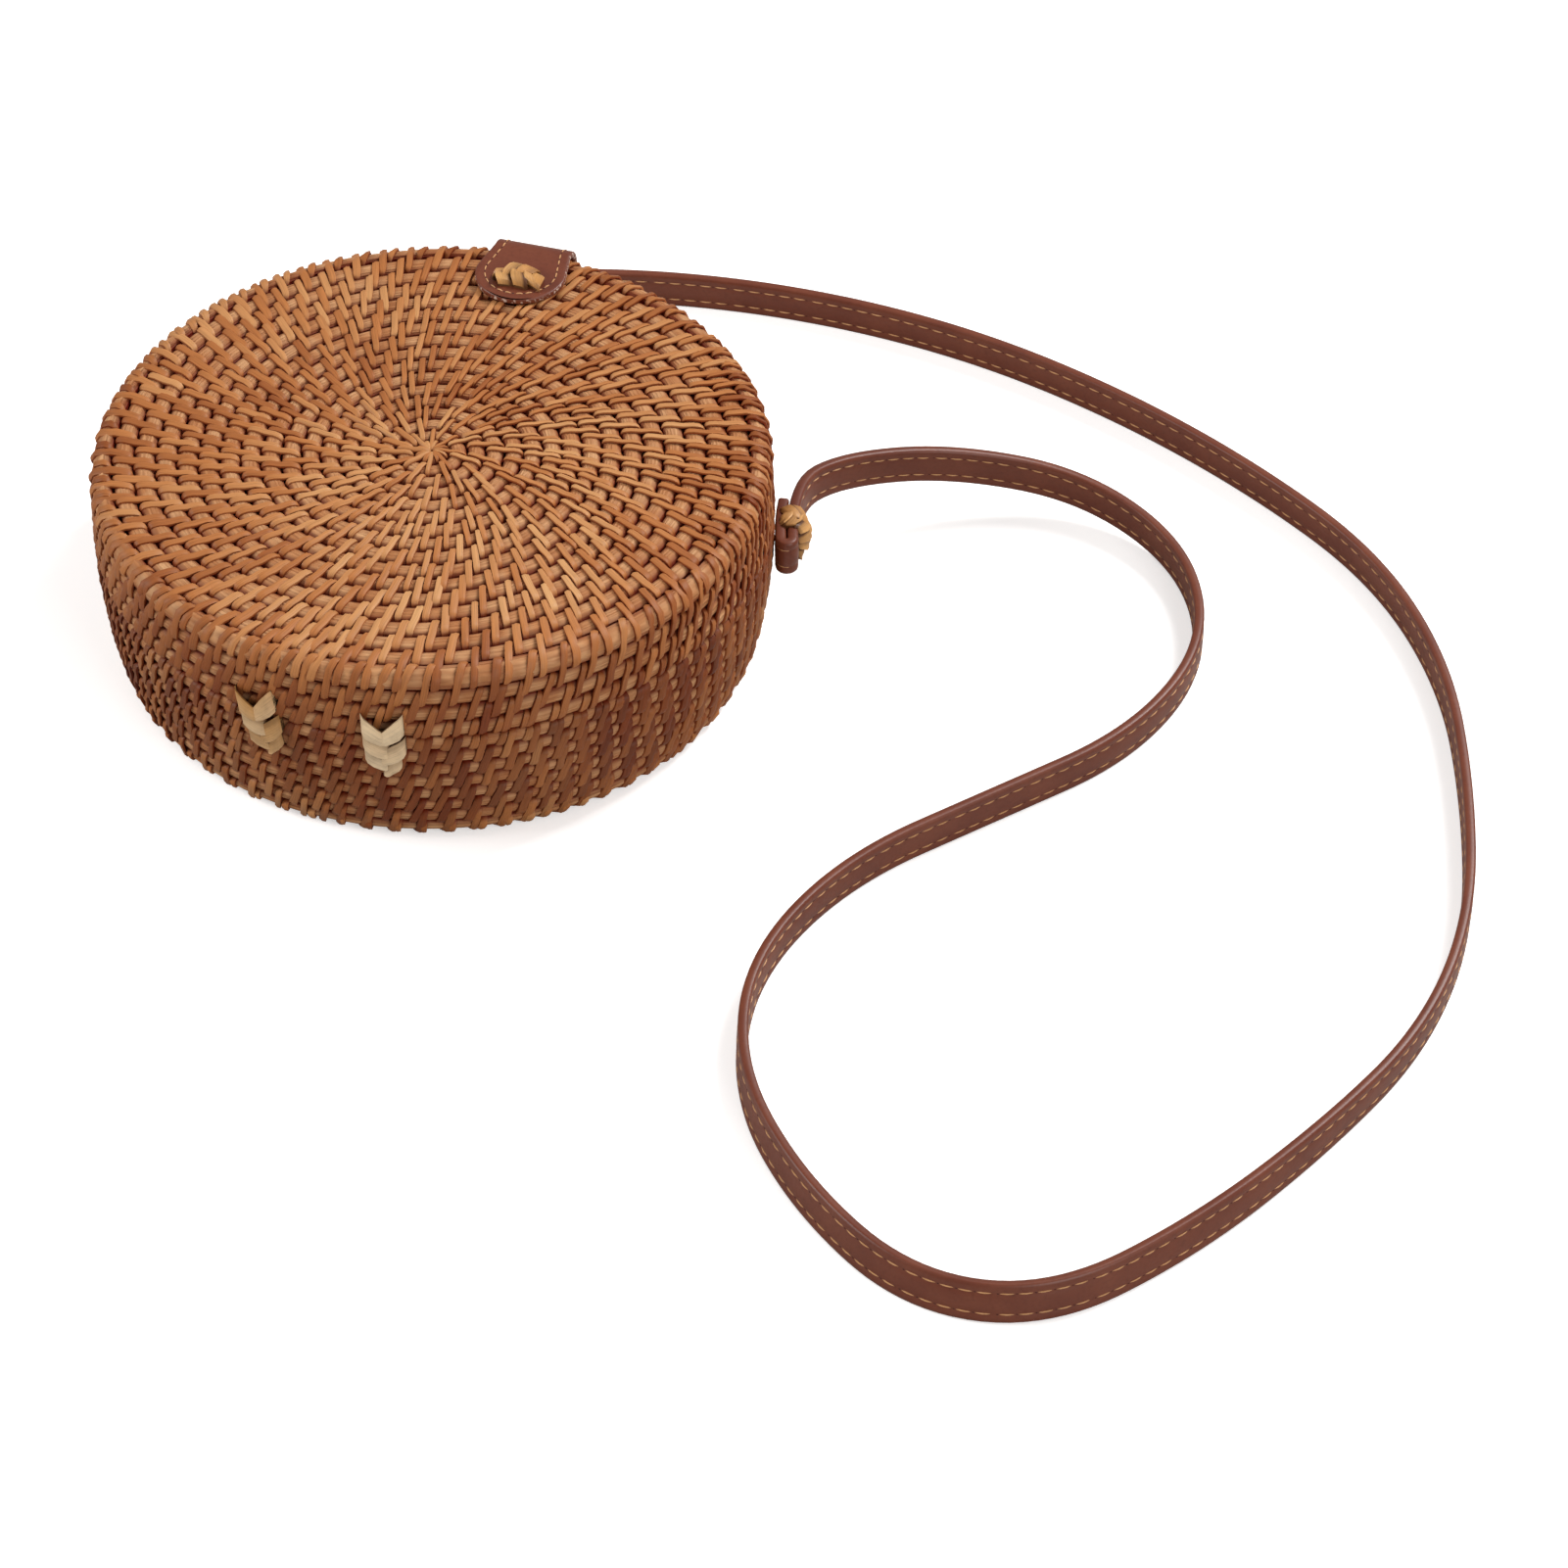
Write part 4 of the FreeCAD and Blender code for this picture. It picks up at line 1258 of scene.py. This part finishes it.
# Strap: two layers of folded leather, 12 mm wide and stitched along both edges. It stands on its edge on the
# floor, and each end is folded back on itself under a rosette on the back shell's wall.
strap_route = [
    (-0.1032, 0.0232, 0.0315),
    (-0.0975, 0.0412, 0.0315),
    (-0.0895, 0.0660, 0.0285),
    (-0.0740, 0.1100, 0.0200),
    (-0.0360, 0.1460, 0.0090),
    (0.0118, 0.1652, 0.0060),
    (0.0653, 0.1704, 0.0060),
    (0.1197, 0.1650, 0.0060),
    (0.1717, 0.1489, 0.0060),
    (0.2212, 0.1247, 0.0060),
    (0.2663, 0.0936, 0.0060),
    (0.2962, 0.0505, 0.0060),
    (0.3123, -0.0004, 0.0060),
    (0.3221, -0.0518, 0.0060),
    (0.3176, -0.0984, 0.0060),
    (0.2989, -0.1416, 0.0060),
    (0.2740, -0.1848, 0.0060),
    (0.2427, -0.2210, 0.0060),
    (0.2052, -0.2255, 0.0060),
    (0.1682, -0.2002, 0.0060),
    (0.1404, -0.1648, 0.0060),
    (0.1321, -0.1220, 0.0060),
    (0.1472, -0.0772, 0.0060),
    (0.1811, -0.0396, 0.0060),
    (0.2137, -0.0035, 0.0060),
    (0.2259, 0.0405, 0.0060),
    (0.2109, 0.0810, 0.0060),
    (0.1743, 0.1019, 0.0100),
    (0.1341, 0.0924, 0.0185),
    (0.1053, 0.0698, 0.0265),
    (0.0957, 0.0470, 0.0315),
    (0.1032, 0.0232, 0.0315),
]
strap_width = 0.0120
strap_step = 0.0036
front_lean = 17.0
lean_from = -0.10
lean_full = -0.19
fold_layer_step = 0.0036
fold_swell = 1.10
fold_swell_run = 0.020
fold_steps = 10
tail_steps = 5
strap_half_section = (
    (-0.5, 0.00085),
    (-0.475, 0.00132),
    (-0.41, 0.00152),
    (-0.31, 0.00146),
    (-0.265, 0.00126),
    (-0.22, 0.00146),
    (-0.11, 0.00158),
    (0.0, 0.00160),
)
stitch_row = 0.265
stitch_depth = 0.00128
strap_stitch_pitch = 0.0052
strap_stitch_length = 0.0040
strap_crease = 60.0


def curve_points(name, route):
    """Points along the smooth line that the route's points control."""
    curve = bpy.data.curves.new(name, "CURVE")
    curve.dimensions = "3D"
    curve.resolution_u = 16
    spline = curve.splines.new("NURBS")
    spline.points.add(len(route) - 1)
    for point, place in zip(spline.points, route):
        point.co = (*place, 1.0)
    spline.order_u = 3
    spline.use_endpoint_u = True
    holder = linked_object(name, curve)
    line = bpy.data.meshes.new_from_object(holder)
    points = [vert.co.copy() for vert in line.vertices]
    bpy.data.objects.remove(holder)
    bpy.data.meshes.remove(line)
    return points


strap_line = evenly(curve_points("strap_route", strap_route), strap_step)


def folded_end(line):
    """Middle line of a strap's folded-back end, from the tail's tip to the strap's own first point."""
    first, second = line[:2]
    toward = (second - first).normalized()
    outward = Vector((first.x, first.y, 0)).normalized()
    outward = (outward - toward * outward.dot(toward)).normalized()
    points = []
    for i in range(tail_steps):
        points.append(line[tail_steps - i] - outward * fold_layer_step)
    centre = first - outward * fold_layer_step / 2
    for i in range(fold_steps):
        turn = math.pi * i / fold_steps
        spread = toward * math.sin(turn) + outward * math.cos(turn)
        points.append(centre - spread * fold_layer_step / 2)
    return points


whole_line = folded_end(strap_line) + strap_line
whole_line += list(reversed(folded_end(strap_line[::-1])))


def strap_axes(line, i):
    """Directions along, across and out of the strap at one point of its line; in front it leans back."""
    along = (line[min(i + 1, len(line) - 1)] - line[max(i - 1, 0)]).normalized()
    up = Vector((0, 0, 1))
    across = (up - along * up.dot(along)).normalized()
    outward = across.cross(along)
    share = min(1.0, max(0.0, (line[i].y - lean_from) / (lean_full - lean_from)))
    lean = math.radians(front_lean) * outward.y * share ** 2 * (3 - 2 * share)
    leaned = across * math.cos(lean) + outward * math.sin(lean)
    return along, leaned, leaned.cross(along)


bm = bmesh.new()
strap_uv = bm.loops.layers.uv.new("strap")
one_side = list(strap_half_section) + [(-x, y) for x, y in reversed(strap_half_section[:-1])]
section = one_side + [(x, -y) for x, y in reversed(one_side)]
rings = []
for i, point in enumerate(whole_line):
    along, across, outward = strap_axes(whole_line, i)
    from_fold = min((point - strap_line[0]).length, (point - strap_line[-1]).length)
    swell = 1 + (fold_swell - 1) * min(1.0, max(0.0, 2 - from_fold / fold_swell_run))
    rings.append([point + across * x * strap_width + outward * y * swell for x, y in section])
strap_marks = [x * strap_width for x, y in section] + [section[0][0] * strap_width]
skin(bm, rings, 0.0, strap_uv, strap_marks)
folded_leather = leather("folded_leather", False)
strap = finished("strap_band", bm, [folded_leather], strap_crease)
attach(strap, "back_shell")
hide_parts("strap", "strap_fold_left", "strap_fold_right")

bm = bmesh.new()
fine_line = evenly(whole_line, strap_stitch_length / (stitch_points - 1))
fine_axes = [strap_axes(fine_line, i) for i in range(len(fine_line))]
fine_step = (fine_line[1] - fine_line[0]).length
stitch_stride = strap_stitch_pitch / fine_step
for row in (-stitch_row, stitch_row):
    for face_way in (-1, 1):
        for stitch in range(int((len(fine_line) - stitch_points - 1) / stitch_stride)):
            first = round(stitch * stitch_stride)
            path = []
            outwards = []
            for i in range(first, first + stitch_points):
                along, across, outward = fine_axes[i]
                path.append(fine_line[i] + across * row * strap_width + outward * face_way * stitch_depth)
                outwards.append(outward * face_way)
            thread_stitch(bm, path, outwards)
strap_stitching = finished("strap_stitching", bm, [waxed_thread, needle_slit])
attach(strap_stitching, "back_shell")

knob_strip = Strip(pitch=0.0016, slant=0.0028, extent=0.0042, tilt=0.0011, thickness=0.0008)
knob_half_width = 0.0056
knob_end_width = 0.62
knob_least_height = 0.0003
knob_relief = 0.0008
knob_step = 0.0004
knob_core = 0.004
knob_turn_span = 2
knob_tone = 0.62
knob_profile = (
    (-0.0054, 0.0044),
    (-0.0050, 0.0058),
    (-0.0036, 0.0064),
    (-0.0016, 0.0064),
    (0.0002, 0.0058),
    (0.0013, 0.0046),
    (0.0023, 0.0024),
    (0.0027, 0.0),
    (0.0024, -0.0024),
    (0.0014, -0.0044),
    (0.0002, -0.0058),
    (-0.0016, -0.0064),
    (-0.0036, -0.0064),
    (-0.0050, -0.0058),
    (-0.0054, -0.0044),
    (-0.0054, -0.0020),
)


def knob_width(share):
    swell = math.sin(math.pi * min(1.0, max(0.0, share)))
    return knob_half_width * (knob_end_width + (1 - knob_end_width) * swell)


def knob_height(share):
    return knob_least_height + knob_relief * math.sin(math.pi * min(1.0, max(0.0, share)))


def strap_knob(side, end):
    """A plait wrapped over the strap's edges and both its layers, and drawn up into a knob outside."""
    knot_low, knot_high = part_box("strap_knot_" + side)
    knot_middle = (knot_low + knot_high) / 2
    outward = Vector((knot_middle.x, knot_middle.y, 0)).normalized()
    sideways = Vector((-outward.y, outward.x, 0))
    seat = outward.dot(end) + strap_half_section[-1][1]
    profile = [outward * (seat + reach) + Vector((0, 0, rise)) for reach, rise in knob_profile]
    wrap = evenly(profile, knob_step)
    wrap_step = (wrap[1] - wrap[0]).length

    def place(along, across, height):
        last = len(wrap) - 1 - knob_turn_span
        i = min(last, max(knob_turn_span, round(along / wrap_step)))
        forward = (wrap[i + knob_turn_span] - wrap[i - knob_turn_span]).normalized()
        lifted = sideways.cross(forward)
        lifted *= 1 if lifted.dot(wrap[i] - outward * (seat - knob_core)) > 0 else -1
        proud = max(0.0, outward.dot(wrap[i]) - seat)
        domed = height - proud * (across / knob_half_width) ** 2
        return wrap[i] + lifted * domed + sideways * across + Vector((0, 0, knot_middle.z))

    bm = plaited_bmesh()
    length = wrap_step * (len(wrap) - 1) - knob_strip.slant / 2
    plait(bm, place, length, knob_width, knob_height, knob_strip, knob_tone, rosette_dice)
    plaited = finished("strap_rosette_plait_" + side, bm, [honey_peel], plait_crease)
    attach(plaited, "back_shell")
    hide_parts("strap_rosette_" + side)


strap_knob("left", strap_line[0])
strap_knob("right", strap_line[-1])

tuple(strap_route[0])
